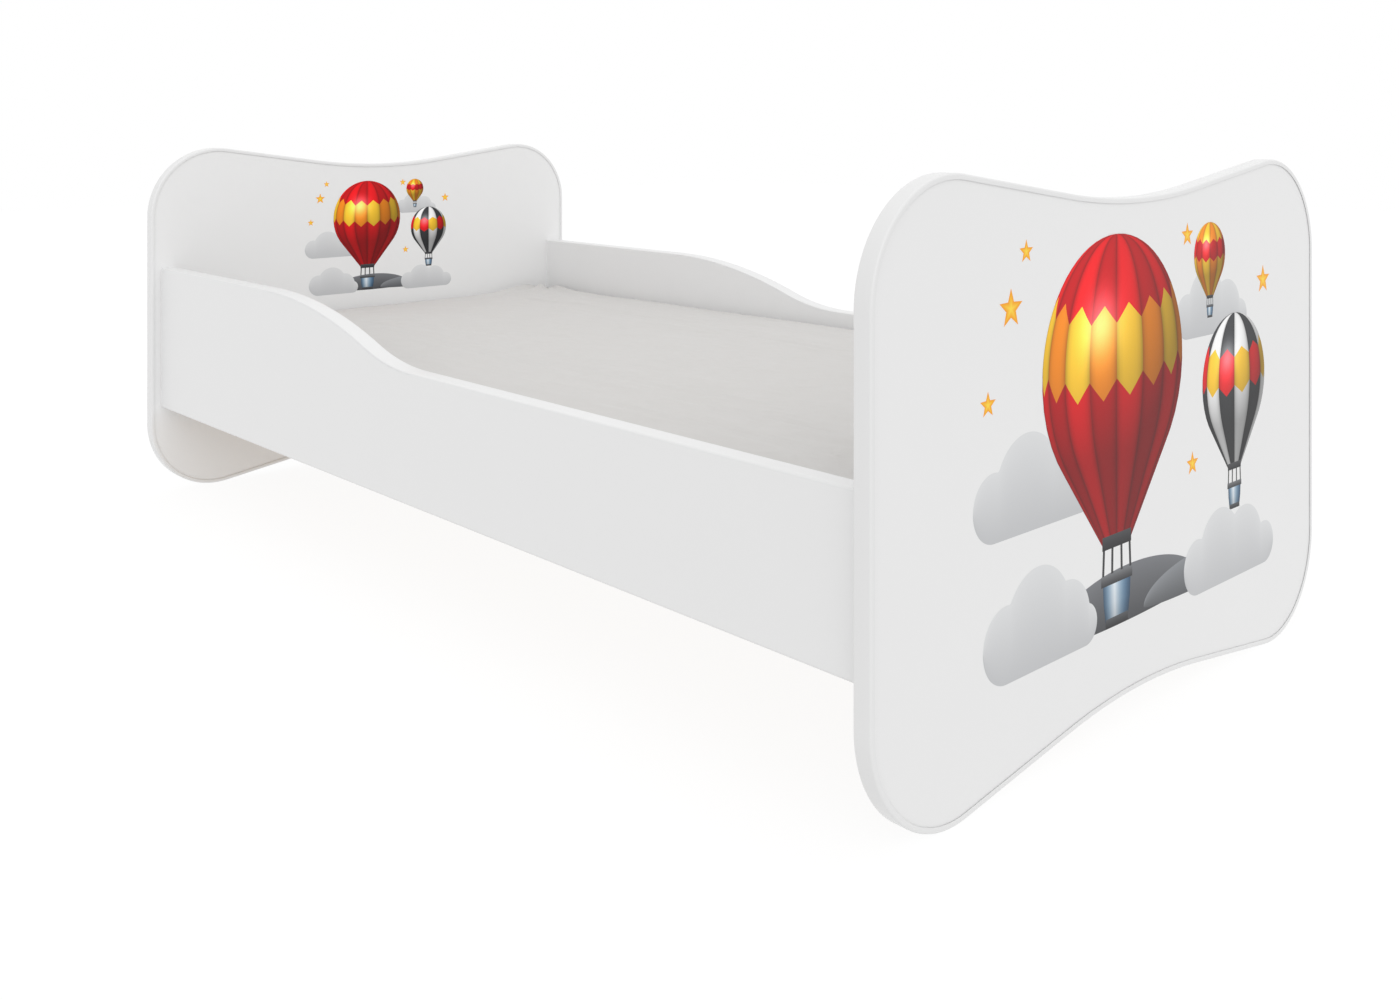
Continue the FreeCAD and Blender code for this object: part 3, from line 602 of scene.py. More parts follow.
plain = mesh_piece("mattress_plain_form", form_points, form_faces, ticking)
quads = plain.modifiers.new("even_quads", "REMESH")
quads.mode = "VOXEL"
quads.voxel_size = VOXEL
even = bpy.data.meshes.new_from_object(plain.evaluated_get(bpy.context.evaluated_depsgraph_get()))
bpy.data.objects.remove(plain)
even.name = "mattress_cover"
halve_corner_quads(even)
start = pulled_in(points_of(even))
print("remeshed cover:", len(even.polygons), "faces, from quads of", VOXEL, "m")

# %% Let the cloth settle
CLOTH_FRAMES = 20
CLOTH_MASS = 0.005
PRESSURE = 0.0015
CORNER_SLACK = 0.20
SLACK_REACH = 100 * MM
MOST_MOVE = 5 * MM
ZIP_HOLD = 9 * MM
zip_low, zip_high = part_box("mattress_zip")
zip_middle = (zip_low[2] + zip_high[2]) / 2

mattress = bpy.data.objects.new("mattress", even)
scene.collection.objects.link(mattress)
even.vertices.foreach_set("co", start.ravel())


def weigh(name, weights):
    """Stores one weight per vertex as a vertex group, a tenth at a time."""
    group = mattress.vertex_groups.new(name=name)
    steps = np.round(weights * 10).astype(int)
    for step in range(1, 11):
        group.add(np.flatnonzero(steps == step).tolist(), step / 10, "REPLACE")


on_base = start[:, 2] < mattress_low[2] + BASE_ROUND / 2
at_zip = np.abs(start[:, 2] - zip_middle) < ZIP_HOLD
weigh("base_and_zip_hold", (on_base | at_zip).astype(float))
upper = start[:, 2] > mattress_low[2] + BASE_ROUND
weigh("corner_slack", np.clip(1 - corner_gap(start) / SLACK_REACH, 0, 1) * upper)

cloth = mattress.modifiers.new("cover_cloth", "CLOTH")
cloth.settings.quality = 5
cloth.settings.mass = CLOTH_MASS
cloth.settings.effector_weights.gravity = 0
cloth.settings.use_pressure = True
cloth.settings.uniform_pressure_force = PRESSURE
cloth.settings.bending_stiffness = 0.05
cloth.settings.vertex_group_mass = "base_and_zip_hold"
cloth.settings.vertex_group_shrink = "corner_slack"
cloth.settings.shrink_min = 0.0
cloth.settings.shrink_max = -CORNER_SLACK
cloth.point_cache.frame_end = CLOTH_FRAMES
for step in range(1, CLOTH_FRAMES + 1):
    scene.frame_set(step)
settled = bpy.data.meshes.new_from_object(
    mattress.evaluated_get(bpy.context.evaluated_depsgraph_get()))
move = points_of(settled) - start
mattress.modifiers.remove(cloth)
bpy.data.meshes.remove(settled)
scene.frame_set(1)
length = np.linalg.norm(move, axis=1, keepdims=True)
capped = move * np.minimum(1, MOST_MOVE / np.maximum(length, 1e-9))
print("cloth moved:", (np.percentile(length, (5, 50, 95, 100)) / MM).round(2), "mm")
start = start + capped

# %% [markdown]
# ## Gathered corners and a rounded top
# The cloth alone settles into creases that are too faint to see from a few metres away. Two formulas
# add what is missing: the top rises towards mid-length, and at each corner a fan of folds runs in
# from the seam. The folds move along the normals, so they stay smooth.

# %% Gather the corners and finish the cover
GATHER_HEIGHT = 14 * MM
TOP_PROUD = 9 * MM
LONG_CROWN = 6 * MM
PLAN_PLAY = 0.2 * MM
GATHER_RADIUS = 72 * MM
FOLDS = np.array([2.8, 3.2, 3.0, 2.6])
FOLD_START = np.radians([20, 110, 180, 290])


def gathers(points):
    """Height of the folds that fan out from the corners, where the cover's cloth is eased in.

    At the distance r and the angle a from a corner: height g(r) w(a) sqrt(sin(2 a)), with
    g = (r / r0)^3 exp(3 - 3 r / r0) and the wave w = (0.5 + 0.5 cos(4 folds a + start))^1.5."""
    corner = (points[:, 0] > 0) + 2 * (points[:, 1] > 0)
    inward = np.maximum(half_plan - np.abs(points[:, :2]), 0)
    angle = np.arctan2(inward[:, 1], inward[:, 0])
    reach = np.linalg.norm(inward, axis=1) / GATHER_RADIUS
    wave = (0.5 + 0.5 * np.cos(4 * FOLDS[corner] * angle + FOLD_START[corner])) ** 1.5
    return GATHER_HEIGHT * reach ** 3 * np.exp(3 - 3 * reach) * wave * np.sqrt(np.sin(2 * angle))


def long_crown(points):
    """The top rises towards mid-length, where nothing holds it down: crown (1 - x^2) above the zip."""
    along = np.clip(points[:, 0] / half_plan[0], -1, 1)
    above = np.clip((points[:, 2] - zip_middle) / (mattress_high[2] - zip_middle), 0, 1)
    return points + np.outer(LONG_CROWN * (1 - along ** 2) * above, (0, 0, 1))


def normals_of(mesh):
    """All vertex normals of a mesh as one array."""
    flat = np.empty(len(mesh.vertices) * 3)
    mesh.vertices.foreach_get("normal", flat)
    return flat.reshape(-1, 3)


risen = long_crown(start)
even.vertices.foreach_set("co", risen.ravel())
even.update()
on_top = np.clip(normals_of(even)[:, 2:], 0, 1)
folded = risen + normals_of(even) * gathers(risen)[:, None] * on_top
room_low = mattress_low + (PLAN_PLAY, PLAN_PLAY, 0)
room_high = mattress_high - (PLAN_PLAY, PLAN_PLAY, -TOP_PROUD)
cover = np.clip(folded, room_low, room_high)
even.vertices.foreach_set("co", cover.ravel())
even.polygons.foreach_set("use_smooth", np.ones(len(even.polygons), bool))
even.materials.clear()
even.materials.append(ticking)
even.update()
mattress.vertex_groups.clear()
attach(mattress, "mattress")
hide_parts("mattress_core", "mattress_cover_base", "mattress_cover_top")
print("points at the top of their room:", int((folded[:, 2] > room_high[2]).sum()), "of", len(folded))
report(mattress)

# %% [markdown]
# ## The cover's zip
# The cover comes off for washing, so a coil zip runs all round its side. It is a flat tape with a
# round coil in the middle: one small profile carried round the mattress. Its UV map measures metres
# along the zip, which is what the coil's turns are drawn by.

# %% Zip round the mattress
ZIP_HALF = 4 * MM
COIL_RADIUS = 1.6 * MM
COIL_FLATTEN = 0.8
TAPE_PROUD = 0.5 * MM
TAPE_SUNK = 2 * MM


def zip_profile():
    """Section as (outward, up): a flat tape whose middle swells into the half-round coil."""
    turn = np.radians(np.linspace(-90, 90, 9))
    coil = COIL_RADIUS * np.stack([np.cos(turn) * COIL_FLATTEN, np.sin(turn)], -1) + (TAPE_PROUD, 0)
    below = np.array([[-TAPE_SUNK, -ZIP_HALF], [TAPE_PROUD, -ZIP_HALF]])
    return np.concatenate([below, coil, below[::-1] * (1, -1)])


def make_zip():
    """The profile carried round the mattress's plan, with metres along and across as its UV map."""
    path = ring(SIDE_INSET, zip_middle)
    following = np.roll(path, -1, axis=0) - np.roll(path, 1, axis=0)
    outward = np.column_stack([following[:, 1], -following[:, 0], np.zeros(len(path))])
    outward /= np.linalg.norm(outward, axis=1, keepdims=True)
    section = zip_profile()
    places = path[:, None, :] + outward[:, None, :] * section[None, :, :1]
    places[..., 2] += section[None, :, 1]
    faces = grid_faces(len(path), len(section), close_rows=True, close_columns=True)
    piece = mesh_piece("mattress_coil_zip", pulled_in(places.reshape(-1, 3)), faces, zip_coil)
    steps = np.linalg.norm(np.roll(path, -1, axis=0) - path, axis=1)
    along = np.concatenate([[0], np.cumsum(steps)])
    up = np.append(section[:, 1], section[0, 1])
    i, j = np.divmod(np.arange(len(faces)), len(section))
    corners = [(i, j), (i + 1, j), (i + 1, j + 1), (i, j + 1)]
    zip_map = np.stack([np.stack([along[a], up[b]], -1) for a, b in corners], axis=1)
    piece.data.uv_layers.new(name="zip").data.foreach_set("uv", zip_map.ravel())
    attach(piece, "mattress")
    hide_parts("mattress_zip")
    report(piece)


make_zip()

# %% [markdown]
# ## Screw heads
# Each batten is held by a row of countersunk screws, and the end slats by one at each end. A head is
# a shallow disc with a cross recess: a function of radius and angle, sunk where the cross runs. One
# head is worked out and then copied to all its places in a single mesh.

# %% Countersunk heads
HEAD_RADIUS = 4 * MM
HEAD_RINGS, HEAD_POINTS = 10, 32
HEAD_MIDDLE = 0.05
RIM_START = 0.9
RIM_DROP = 0.4 * MM
RECESS_WIDTH = 0.75 * MM
RECESS_DEPTH = 1.2 * MM
RECESS_REACH = 0.68
RECESS_SLOPE = 0.3 * MM
CONE_DEPTH = 2.6 * MM
CONE_END = 0.45
SCREWS_PER_BATTEN = 6
SLAT_SCREW_INSET = 8 * MM


def screw_head():
    """Height over a disc: a flat top, less the depth where min(|x|, |y|) is within the cross.

    One more ring, smaller and deeper, makes the cone that the wood hides."""
    radius, angle = np.meshgrid(np.linspace(HEAD_MIDDLE, 1, HEAD_RINGS) * HEAD_RADIUS,
                                np.linspace(0, math.tau, HEAD_POINTS, endpoint=False), indexing="ij")
    x, y = radius * np.cos(angle), radius * np.sin(angle)
    inside = np.clip((RECESS_WIDTH - np.minimum(np.abs(x), np.abs(y))) / RECESS_SLOPE, 0, 1)
    inside *= np.clip((RECESS_REACH * HEAD_RADIUS - radius) / RECESS_SLOPE, 0, 1)
    rim = np.clip((radius / HEAD_RADIUS - RIM_START) / (1 - RIM_START), 0, 1)
    height = -RECESS_DEPTH * inside - RIM_DROP * rim
    top = np.stack([x, y, height], -1)
    cone = top[-1:] * (CONE_END, CONE_END, 0) - (0, 0, CONE_DEPTH)
    return np.concatenate([top, cone]).reshape(-1, 3)


def make_screws():
    """Heads on the battens' inner faces, which look across the bed, and on top of the end slats."""
    head = screw_head()
    faces = grid_faces(HEAD_RINGS + 1, HEAD_POINTS, close_columns=True)
    one_ring = np.arange(HEAD_POINTS)
    caps = np.stack([one_ring, HEAD_RINGS * HEAD_POINTS + one_ring[::-1]])
    places, turned = [], []
    for side in ("left", "right"):
        low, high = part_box(f"{side}_support_batten")
        inner = -np.sign(low[1] + high[1])
        face_y = max((low[1], high[1]), key=lambda y: y * inner)
        for x in np.linspace(low[0], high[0], SCREWS_PER_BATTEN * 2 + 1)[1::2]:
            places.append((x, face_y, (low[2] + high[2]) / 2))
            turned.append(np.column_stack([head[:, 0] * -inner, head[:, 2] * inner, head[:, 1]]))
    for slat in ("slat_01", "slat_13"):
        low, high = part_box(slat)
        for y in (low[1] + SLAT_SCREW_INSET, high[1] - SLAT_SCREW_INSET):
            places.append(((low[0] + high[0]) / 2, y, high[2]))
            turned.append(head)
    points = np.stack(turned) + np.array(places)[:, None, :]
    shift = (np.arange(len(places)) * len(head))[:, None, None]
    all_faces = (faces[None] + shift).reshape(-1, 4).tolist()
    all_faces += (caps[None] + shift).reshape(-1, HEAD_POINTS).tolist()
    screws = mesh_piece("countersunk_screw_heads", points, all_faces, zinc)
    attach(screws, "frame")
    report(screws)


make_screws()

# %% [markdown]
# ## The printed picture
# Both end boards carry a picture printed straight on the laminate, large outside the foot and half
# the size inside the head: hot-air balloons over clouds, in glossy reds, yellow, charcoal and steel
# blue. Ink has no thickness to speak of, so each printed area is a thin plate sunk into the board,
# and areas that lie over others stand a few hundredths of a millimetre higher. The airbrushed
# shading is worked out point by point and stored in a colour attribute, so no picture is loaded.


# %% Ink and printed areas
def printing_ink():
    """UV-cured ink: its grain is the laminate's, its gloss is less; the attribute ink colours it."""
    material, shader = new_material("uv_cured_printing_ink", IOR=1.5, Specular_IOR_Level=0.2)
    ink = add(material, "ShaderNodeAttribute", {"attribute_name": "ink"})
    link(material, ink.outputs["Color"], shader.inputs["Base Color"])
    place = add(material, "ShaderNodeTexCoord").outputs["Object"]
    grain = add(material, "ShaderNodeTexNoise", inputs={
        "Vector": place, "Scale": 1 / (1.5 * MM), "Detail": 2})
    gloss = add(material, "ShaderNodeMapRange", inputs={
        "Value": grain.outputs["Fac"], "To Min": 0.33, "To Max": 0.43})
    link(material, gloss.outputs["Result"], shader.inputs["Roughness"])
    relief = add(material, "ShaderNodeBump", inputs={
        "Height": grain.outputs["Fac"], "Distance": 0.05 * MM, "Strength": 0.5})
    link(material, relief.outputs["Normal"], shader.inputs["Normal"])
    return material


def area(points, colours, layer):
    """A printed area: a grid of (across, up) points, from left to right and from the bottom up."""
    columns, rows = points.shape[:2]
    shades = np.broadcast_to(colours, (columns, rows, 3)).reshape(-1, 3)
    return points.reshape(-1, 2), grid_faces(columns, rows).tolist(), shades, layer


def between(across, low, high, colour_low, colour_high, layer, rows=6):
    """The area between two curves over one line of points, with a colour run from low to high."""
    share = np.linspace(0, 1, rows)[None, :, None]
    low_points = np.stack(np.broadcast_arrays(across, low), -1)[:, None, :]
    high_points = np.stack(np.broadcast_arrays(across, high), -1)[:, None, :]
    colours = srgb(colour_low) + (srgb(colour_high) - srgb(colour_low)) * share
    return area(low_points + (high_points - low_points) * share, colours, layer)


ink = printing_ink()
print("printed with", ink.name)


# %% Balloons
# The painted light comes from here, as (across, up, towards the viewer)
LIGHT = np.array([-0.42, 0.62, 0.66])
CONE_SHARE = 0.26
CONE_TILT = math.radians(40)
CROWN_TILT = math.radians(89)
MOUTH = 1.32
# Shares of the way from the mouth to the crown
BELT_LOW, BELT_HIGH = 0.52, 0.66
BELT_POINT, BELT_BOW, BELT_SAG = 0.05, 0.06, 0.12
GORE_COLUMNS, GORE_ROWS = 9, 12
SHADED, LIT = 0.62, 0.48
SEAM_DARKENS = 0.25
SHINE, SHINE_POWER = 0.45, 30


def envelope(share):
    """A balloon's radius, height and the tilt of its skin: a cone that runs into a sphere.

    Below CONE_SHARE the skin is a straight cone, above it the sphere from -40 degrees to the top."""
    sphere = np.clip((share - CONE_SHARE) / (1 - CONE_SHARE), 0, 1)
    tilt = -CONE_TILT + sphere * (CROWN_TILT + CONE_TILT)
    drop = (MOUTH - math.sin(CONE_TILT)) * np.clip(1 - share / CONE_SHARE, 0, 1)
    radius = np.cos(tilt) - drop * math.tan(CONE_TILT)
    return radius, np.sin(tilt) - drop, tilt


def skin_colours(base, around, tilt, across_gore):
    """Airbrushed cloth: base (shaded + lit n.l), darker in the seams, plus a highlight (n.h)^power."""
    normal = np.stack([np.sin(around) * np.cos(tilt), np.sin(tilt), np.cos(around) * np.cos(tilt)], -1)
    facing = np.clip(normal @ LIGHT, 0, 1)[..., None]
    halfway = (LIGHT + (0, 0, 1)) / np.linalg.norm(LIGHT + (0, 0, 1))
    shine = np.clip(normal @ halfway, 0, 1)[..., None] ** SHINE_POWER
    seam = (1 - SEAM_DARKENS * np.abs(across_gore) ** 4)[..., None]
    return np.clip(srgb(base) * (SHADED + LIT * facing) * seam + SHINE * shine, 0, 1)


def balloon(middle, radius, gores, cloth, belt, layer):
    """A balloon's gores, each in three areas: below, on and above a belt with pointed edges."""
    made = []
    edges = np.radians(np.linspace(-90, 90, gores + 1))
    step = np.linspace(0, 1, GORE_COLUMNS)[:, None]
    rows = np.linspace(0, 1, GORE_ROWS)[None, :]
    for k in range(gores):
        around = edges[k] + (edges[k + 1] - edges[k]) * step + 0 * rows
        across_gore = 2 * step - 1 + 0 * rows
        bow = np.cos(around)
        point = BELT_POINT * (1 - np.abs(across_gore)) - BELT_BOW * bow
        limits = [0, BELT_LOW - point - BELT_SAG * bow, BELT_HIGH + point, 1]
        for part, base in enumerate((cloth[k % 2], belt[k % 2], cloth[k % 2])):
            share = limits[part] + (limits[part + 1] - limits[part]) * rows
            size, height, tilt = envelope(share)
            points = np.stack([size * np.sin(around), height], -1) * radius + middle
            made.append(area(points, skin_colours(base, around, tilt, across_gore), layer))
    return made


print("envelope radius at the mouth and the belt:", envelope(np.array([0, BELT_LOW]))[0].round(3))

# %% Baskets
# Shares of the balloon's radius, up from its mouth, and of the mouth's half width, across
RIM_LEVEL, BASKET_BASE = -0.27, -0.60
BASKET_WIDTHS, BASKET_SHADES = (0.78, 0.95, 1.0), (0.75, 0.92, 1.0)
STEEL_BLUES = ("#3F5A72", "#8FA9BF", "#E9F0F5", "#9DB5C9", "#5F7F9B", "#38516A")
ROPES, ROPE_LEAN, ROPE_HALF = (-1, -0.35, 0.35, 1), 0.92, 0.014
ROPE_GREY = "#3A3A3C"
# Half width, lower and upper edge, and colours of the basket's rim, its base and the balloon's skirt
STRIPS = (
    (1.12, -0.30, -0.22, ROPE_GREY, "#77797C"),
    (0.80, -0.62, -0.55, "#2E2E30", "#55575A"),
    (1.04, -0.03, 0.07, "#2B2B2D", "#4A4A4D"),
)


def basket(middle, radius, layer):
    """Basket, ropes and strips under a balloon: the basket's blues run across it, lighter upwards."""
    y, mouth = middle[0], middle[1] - MOUTH * radius
    width = envelope(np.zeros(1))[0][0] * radius
    rim, base = mouth + RIM_LEVEL * radius, mouth + BASKET_BASE * radius
    across = np.linspace(-1, 1, 13)
    steel = np.array([srgb(blue) for blue in STEEL_BLUES])
    stops = np.linspace(-1, 1, len(steel))
    blues = np.stack([np.interp(across, stops, channel) for channel in steel.T], -1)
    levels = np.broadcast_to((base, (base + rim) / 2, rim), (len(across), 3))
    shape = np.stack([y + np.outer(across, BASKET_WIDTHS) * width, levels], -1)
    made = [area(shape, blues[:, None, :] * np.array(BASKET_SHADES)[None, :, None], layer)]
    thick = np.array([-1, 1]) * ROPE_HALF * radius
    for share in ROPES:
        low = np.stack(np.broadcast_arrays(y + share * width + thick, rim), -1)
        high = np.stack(np.broadcast_arrays(y + share * width * ROPE_LEAN + thick, mouth), -1)
        made.append(area(np.stack([low, high], 1), srgb(ROPE_GREY), layer))
    for half, low, high, dark, pale in STRIPS:
        ends = np.array([-half, half]) * width + y
        made.append(between(ends, mouth + low * radius, mouth + high * radius, dark, pale, layer + 1))
    return made


print("a basket's base hangs", -BASKET_BASE, "of the balloon's radius below its mouth")

# %% Clouds, hills and stars
CLOUD_GREYS = ("#BFC0C2", "#DADBDC")
CLOUD_POINTS, HILL_POINTS = 121, 81
HILL_FOOT = 0.2
THINNEST = 0.2
TOUCH = 1e-6
STAR_WAIST, STAR_CORE = 0.42, 0.08
STAR_GOLD, STAR_EDGE = "#FBD84A", "#F39A1D"


def towards_ends(left, right, count):
    """Points from left to right that crowd towards both ends: middle - half cos(t)."""
    return (left + right) / 2 - (right - left) / 2 * np.cos(np.linspace(0, math.pi, count))


def cloud(left, base, lobes, layer):
    """The outline of several circles side by side, with a flat base between the first and the last.

    The top is the highest z + sqrt(r^2 - d^2); past the end circles' middles the underside is the
    lowest z - sqrt(r^2 - d^2)."""
    x, z, r = np.array(lobes, float).T[:, :, None]
    across = towards_ends((x - r).min(), (x + r).max(), CLOUD_POINTS)
    inside = r ** 2 - (across - x) ** 2
    rise = np.sqrt(np.maximum(inside, 0))
    top = np.where(inside >= -TOUCH, z + rise, 0).max(axis=0)
    under = np.where(inside >= -TOUCH, z - rise, np.inf).min(axis=0)
    under = np.where((across > x[0]) & (across < x[-1]), 0, np.maximum(under, 0))
    top = np.maximum(top, under + THINNEST)
    return [between(across + left, base + under, base + top, *CLOUD_GREYS, layer)]


def hill(left, right, base, height, layer, low, high):
    """A rounded rise: half an ellipse over another that is a fifth as high."""
    across = towards_ends(left, right, HILL_POINTS)
    rise = height * np.sin(np.linspace(0, math.pi, HILL_POINTS))
    foot = base - HILL_FOOT * rise - THINNEST / 2
    return [between(across, foot, base + rise + THINNEST / 2, low, high, layer)]


def star(y, z, size, layer):
    """A five-pointed star as a fan of ten kites: the radius swings between the size and its waist."""
    angle = np.radians(90 - np.arange(11) * 36)
    radius = size * np.where(np.arange(11) % 2, STAR_WAIST, 1)
    outer = np.stack([y + radius * np.cos(angle), z + radius * np.sin(angle)], -1)
    inner = (y, z) + (outer - (y, z)) * STAR_CORE
    rays = np.stack([outer, inner], 1)
    points = np.stack([rays[:-1], rays[1:]], 1).reshape(-1, 2, 2, 2)
    colours = np.stack([srgb(STAR_EDGE), srgb(STAR_GOLD)])[None]
    made = [area(np.flip(kite, 0), colours, layer) for kite in points]
    core = (inner[:-1][::-1], [list(range(10))], np.tile(srgb(STAR_GOLD), (10, 1)), layer)
    return made + [core]


print("a cloud's outline has", CLOUD_POINTS, "points along it")

# %% Lay the picture out
RED, DEEP_RED = "#E8131B", "#C20E16"
AMBER, ORANGE = "#FBC832", "#F08A1B"
CHARCOAL, PAPER = "#3A3B3E", "#F3F3F3"
STAR_LAYER, BALLOON_LAYER = 3, 4
# Millimetres from the picture's middle. Hills: left, right, base, height, layer, colours
HILLS = (
    (-196, 118, -186, 50, 1, "#4B4C4F", "#77797D"),
    (-6, 286, -190, 36, 2, "#5B5D60", "#8B8E92"),
)
# Clouds: left, base, circles as (across, up, radius), layer
CLOUDS = (
    (-320, -62, [(34, 34, 34), (92, 42, 56), (150, 36, 44), (196, 24, 24)], 1),
    (66, 92, [(26, 26, 26), (72, 34, 44), (122, 28, 34), (156, 18, 18)], 1),
    (-304, -202, [(38, 38, 38), (94, 44, 58), (146, 34, 42), (180, 22, 22)], 7),
    (84, -206, [(32, 32, 32), (88, 40, 50), (150, 36, 46), (202, 26, 26)], 7),
)
# Balloons: middle, radius, gores, colours of the cloth, colours of the belt
BALLOONS = (
    ((-62, 80), 142, 8, (RED, DEEP_RED), (AMBER, ORANGE)),
    ((208, 32), 80, 6, (CHARCOAL, PAPER), (RED, AMBER)),
    ((146, 186), 38, 6, (AMBER, ORANGE), (RED, DEEP_RED)),
)
# Stars: across, up, size
STARS = ((-258, 160, 20), (-296, 72, 13), (-232, 214, 12),
         (92, 212, 14), (284, 146, 18), (104, -52, 14))

picture = []
for sizes in HILLS:
    picture += hill(*sizes)
for sizes in CLOUDS:
    picture += cloud(*sizes)
for middle, radius, gores, cloth, belt in BALLOONS:
    picture += balloon(middle, radius, gores, cloth, belt, BALLOON_LAYER)
    picture += basket(middle, radius, BALLOON_LAYER)
for sizes in STARS:
    picture += star(*sizes, STAR_LAYER)
print("picture:", len(picture), "printed areas")

# %% Print it on both end boards
LAYER_STEP = 0.02 * MM
PLATE = 0.6 * MM


def print_on(board, face_x, middle_y, middle_z, scale):
    """Carries the picture's areas onto a board's face: y and z are scaled, x is the layer's height."""
    points, faces, shades, count = [], [], [], 0
    for flat, quads, colours, layer in picture:
        lift = np.full(len(flat), face_x + (layer + 2) * LAYER_STEP)
        points.append(np.column_stack([lift, flat * scale * MM + (middle_y, middle_z)]))
        faces += [[corner + count for corner in quad] for quad in quads]
        shades.append(colours)
        count += len(flat)
    piece = mesh_piece(f"{board}_print", np.concatenate(points), faces, ink, smooth=False)
    inks = piece.data.color_attributes.new("ink", "FLOAT_COLOR", "POINT")
    colours = np.column_stack([to_linear(np.concatenate(shades)), np.ones(count)])
    inks.data.foreach_set("color", colours.ravel())
    plate = piece.modifiers.new("ink_plate", "SOLIDIFY")
    plate.thickness = PLATE
    plate.offset = -1
    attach(piece, "frame")
    report(piece)


# Middle of the picture across the bed and over the floor, and its scale
PRINTS = {"footboard": (22 * MM, 309 * MM, 1.0), "headboard": (4 * MM, 422 * MM, 0.51)}
for board, place in PRINTS.items():
    print_on(board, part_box(f"{board}_panel")[1][0], *place)

# %% [markdown]
# ## Floor, light and camera
# The bed stands in soft, nearly shadowless studio light. The world gives an even white light, and one
# wide lamp over the foot makes the end board a little brighter than the sides. A weak fill over the
# mattress reaches the inside of the head, which the foot keeps in the shade. To the camera the
# floor and the world are white: the floor mixes a white glow with a share of plain diffuse shading,
# so that it keeps a soft shadow under the bed. Towards the bed it is a light table, as bright as a
# white floor in the open is, so that the space under the bed isn't dark.

# %% World and floor
WORLD_LIGHT = 0.88


def grey(level):
    """A neutral colour as the four linear numbers that a colour socket takes."""
    return (level, level, level, 1)


world = bpy.data.worlds.new("white_studio")
scene.world = world
world.use_nodes = True
sky = world.node_tree.nodes["Background"]
sky.inputs["Color"].default_value = grey(1)


def seen_by_camera(owner):
    """1 for rays that show the background: those of the camera, of gloss and through glass."""
    path = add(owner, "ShaderNodeLightPath")
    seen = path.outputs["Is Camera Ray"]
    for name in ("Is Glossy Ray", "Is Transmission Ray"):
        seen = add(owner, "ShaderNodeMath", {"operation": "MAXIMUM"}, {
            0: seen, 1: path.outputs[name]}).outputs["Value"]
    return seen


strength = add(world, "ShaderNodeMapRange", inputs={
    "Value": seen_by_camera(world), "To Min": WORLD_LIGHT, "To Max": 1.0})
link(world, strength.outputs["Result"], sky.inputs["Strength"])

FLOOR_HALF = 9.0
FLOOR_DROP = 0.2 * MM
FLOOR_GLOW = 0.90
FLOOR_SHADE = 0.12
TABLE_GLOW = 0.76
TABLE_SHADE = 0.07
floor_paper = bpy.data.materials.new("pale_studio_floor")
floor_paper.use_nodes = True
floor_paper.node_tree.nodes.clear()
glow = add(floor_paper, "ShaderNodeEmission", inputs={"Color": grey(1), "Strength": FLOOR_GLOW})
shaded = add(floor_paper, "ShaderNodeBsdfDiffuse", inputs={"Color": grey(FLOOR_SHADE)})
shown = add(floor_paper, "ShaderNodeAddShader", inputs={0: glow.outputs[0], 1: shaded.outputs[0]})
table = add(floor_paper, "ShaderNodeEmission", inputs={"Color": grey(1), "Strength": TABLE_GLOW})
matt = add(floor_paper, "ShaderNodeBsdfDiffuse", inputs={"Color": grey(TABLE_SHADE)})
lit = add(floor_paper, "ShaderNodeAddShader", inputs={0: table.outputs[0], 1: matt.outputs[0]})
either = add(floor_paper, "ShaderNodeMixShader", inputs={
    0: seen_by_camera(floor_paper), 1: lit.outputs[0], 2: shown.outputs[0]})
add(floor_paper, "ShaderNodeOutputMaterial", inputs={"Surface": either.outputs[0]})

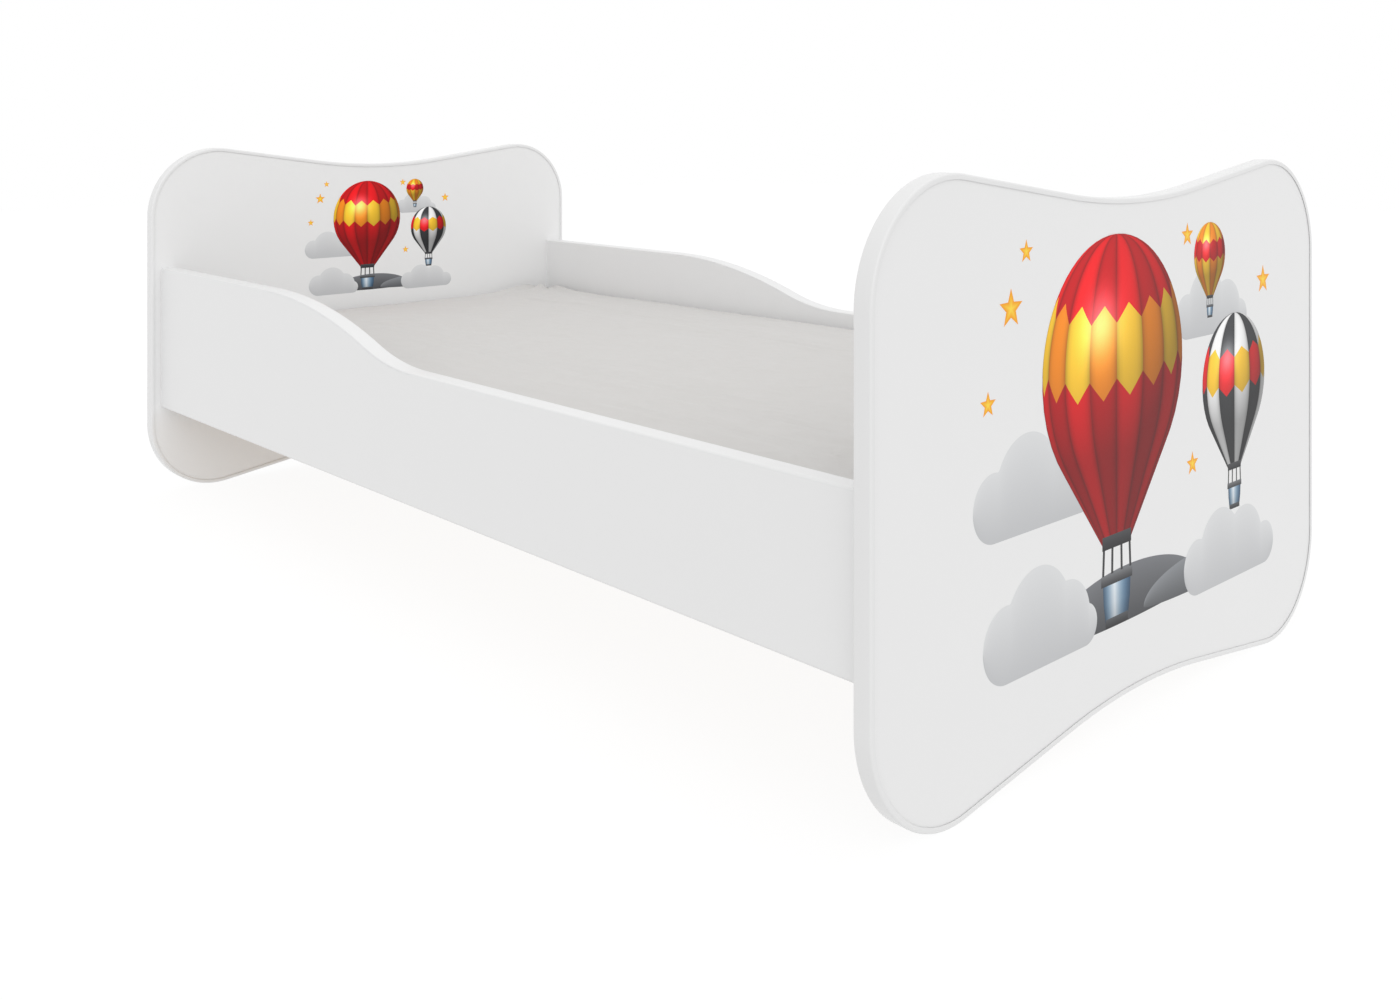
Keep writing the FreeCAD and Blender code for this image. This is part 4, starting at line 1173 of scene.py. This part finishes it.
corners = np.array([[-1, -1, 0], [1, -1, 0], [1, 1, 0], [-1, 1, 0]]) * FLOOR_HALF
floor = mesh_piece("studio_floor", corners - (0, 0, FLOOR_DROP), [[0, 1, 2, 3]], floor_paper)
print("floor:", tuple(round(x, 2) for x in floor.dimensions), "m")


# %% Lamps
SOFTBOX_FROM = (0.68, -0.48, 0.55)
SOFTBOX_STRENGTH = 0.58
SOFTBOX_WIDTH = 60
FILL_PLACE = (0.50, -0.15, 1.50)
FILL_AIM = (-0.80, 0.15, 0.35)
FILL_WATTS = 2.2
FILL_SIZE = 1.0
SOFTBOX_PLACE = (0, 0, 3)


def add_lamp(light, place, back):
    """A lamp at a place that shines against the direction back, hidden from the camera itself."""
    lamp = bpy.data.objects.new(light.name, light)
    lamp.location = place
    lamp.rotation_euler = mathutils.Vector(back).to_track_quat("Z", "Y").to_euler()
    lamp.visible_camera = False
    scene.collection.objects.link(lamp)
    print("lamp:", light.name, round(light.energy, 2))


softbox = bpy.data.lights.new("wide_softbox", "SUN")
softbox.energy = SOFTBOX_STRENGTH
softbox.angle = math.radians(SOFTBOX_WIDTH)
add_lamp(softbox, SOFTBOX_PLACE, SOFTBOX_FROM)
fill = bpy.data.lights.new("head_fill", "AREA")
fill.energy = FILL_WATTS
fill.size = FILL_SIZE
add_lamp(fill, FILL_PLACE, np.subtract(FILL_PLACE, FILL_AIM))

# %% Camera
PHOTO_WIDTH, PHOTO_HEIGHT = 1399, 1000
FOCAL_PIXELS = 1350.43
HORIZON_PIXELS = 122.04
VIEW_TURN = 42.7857
VIEW_PLACE = (1.57903, -1.34745, 0.65039)
SENSOR_WIDTH = 36

camera = bpy.data.cameras.new("camera")
camera.sensor_width = SENSOR_WIDTH
camera.lens = FOCAL_PIXELS / PHOTO_WIDTH * SENSOR_WIDTH
camera.shift_y = (HORIZON_PIXELS - PHOTO_HEIGHT / 2) / PHOTO_WIDTH
viewer = bpy.data.objects.new("camera", camera)
viewer.location = VIEW_PLACE
viewer.rotation_euler = (math.radians(90), 0, math.radians(90 - VIEW_TURN))
scene.collection.objects.link(viewer)
scene.camera = viewer
scene.view_settings.view_transform = "Standard"
print("lens:", round(camera.lens, 2), "mm, shift:", round(camera.shift_y, 4))
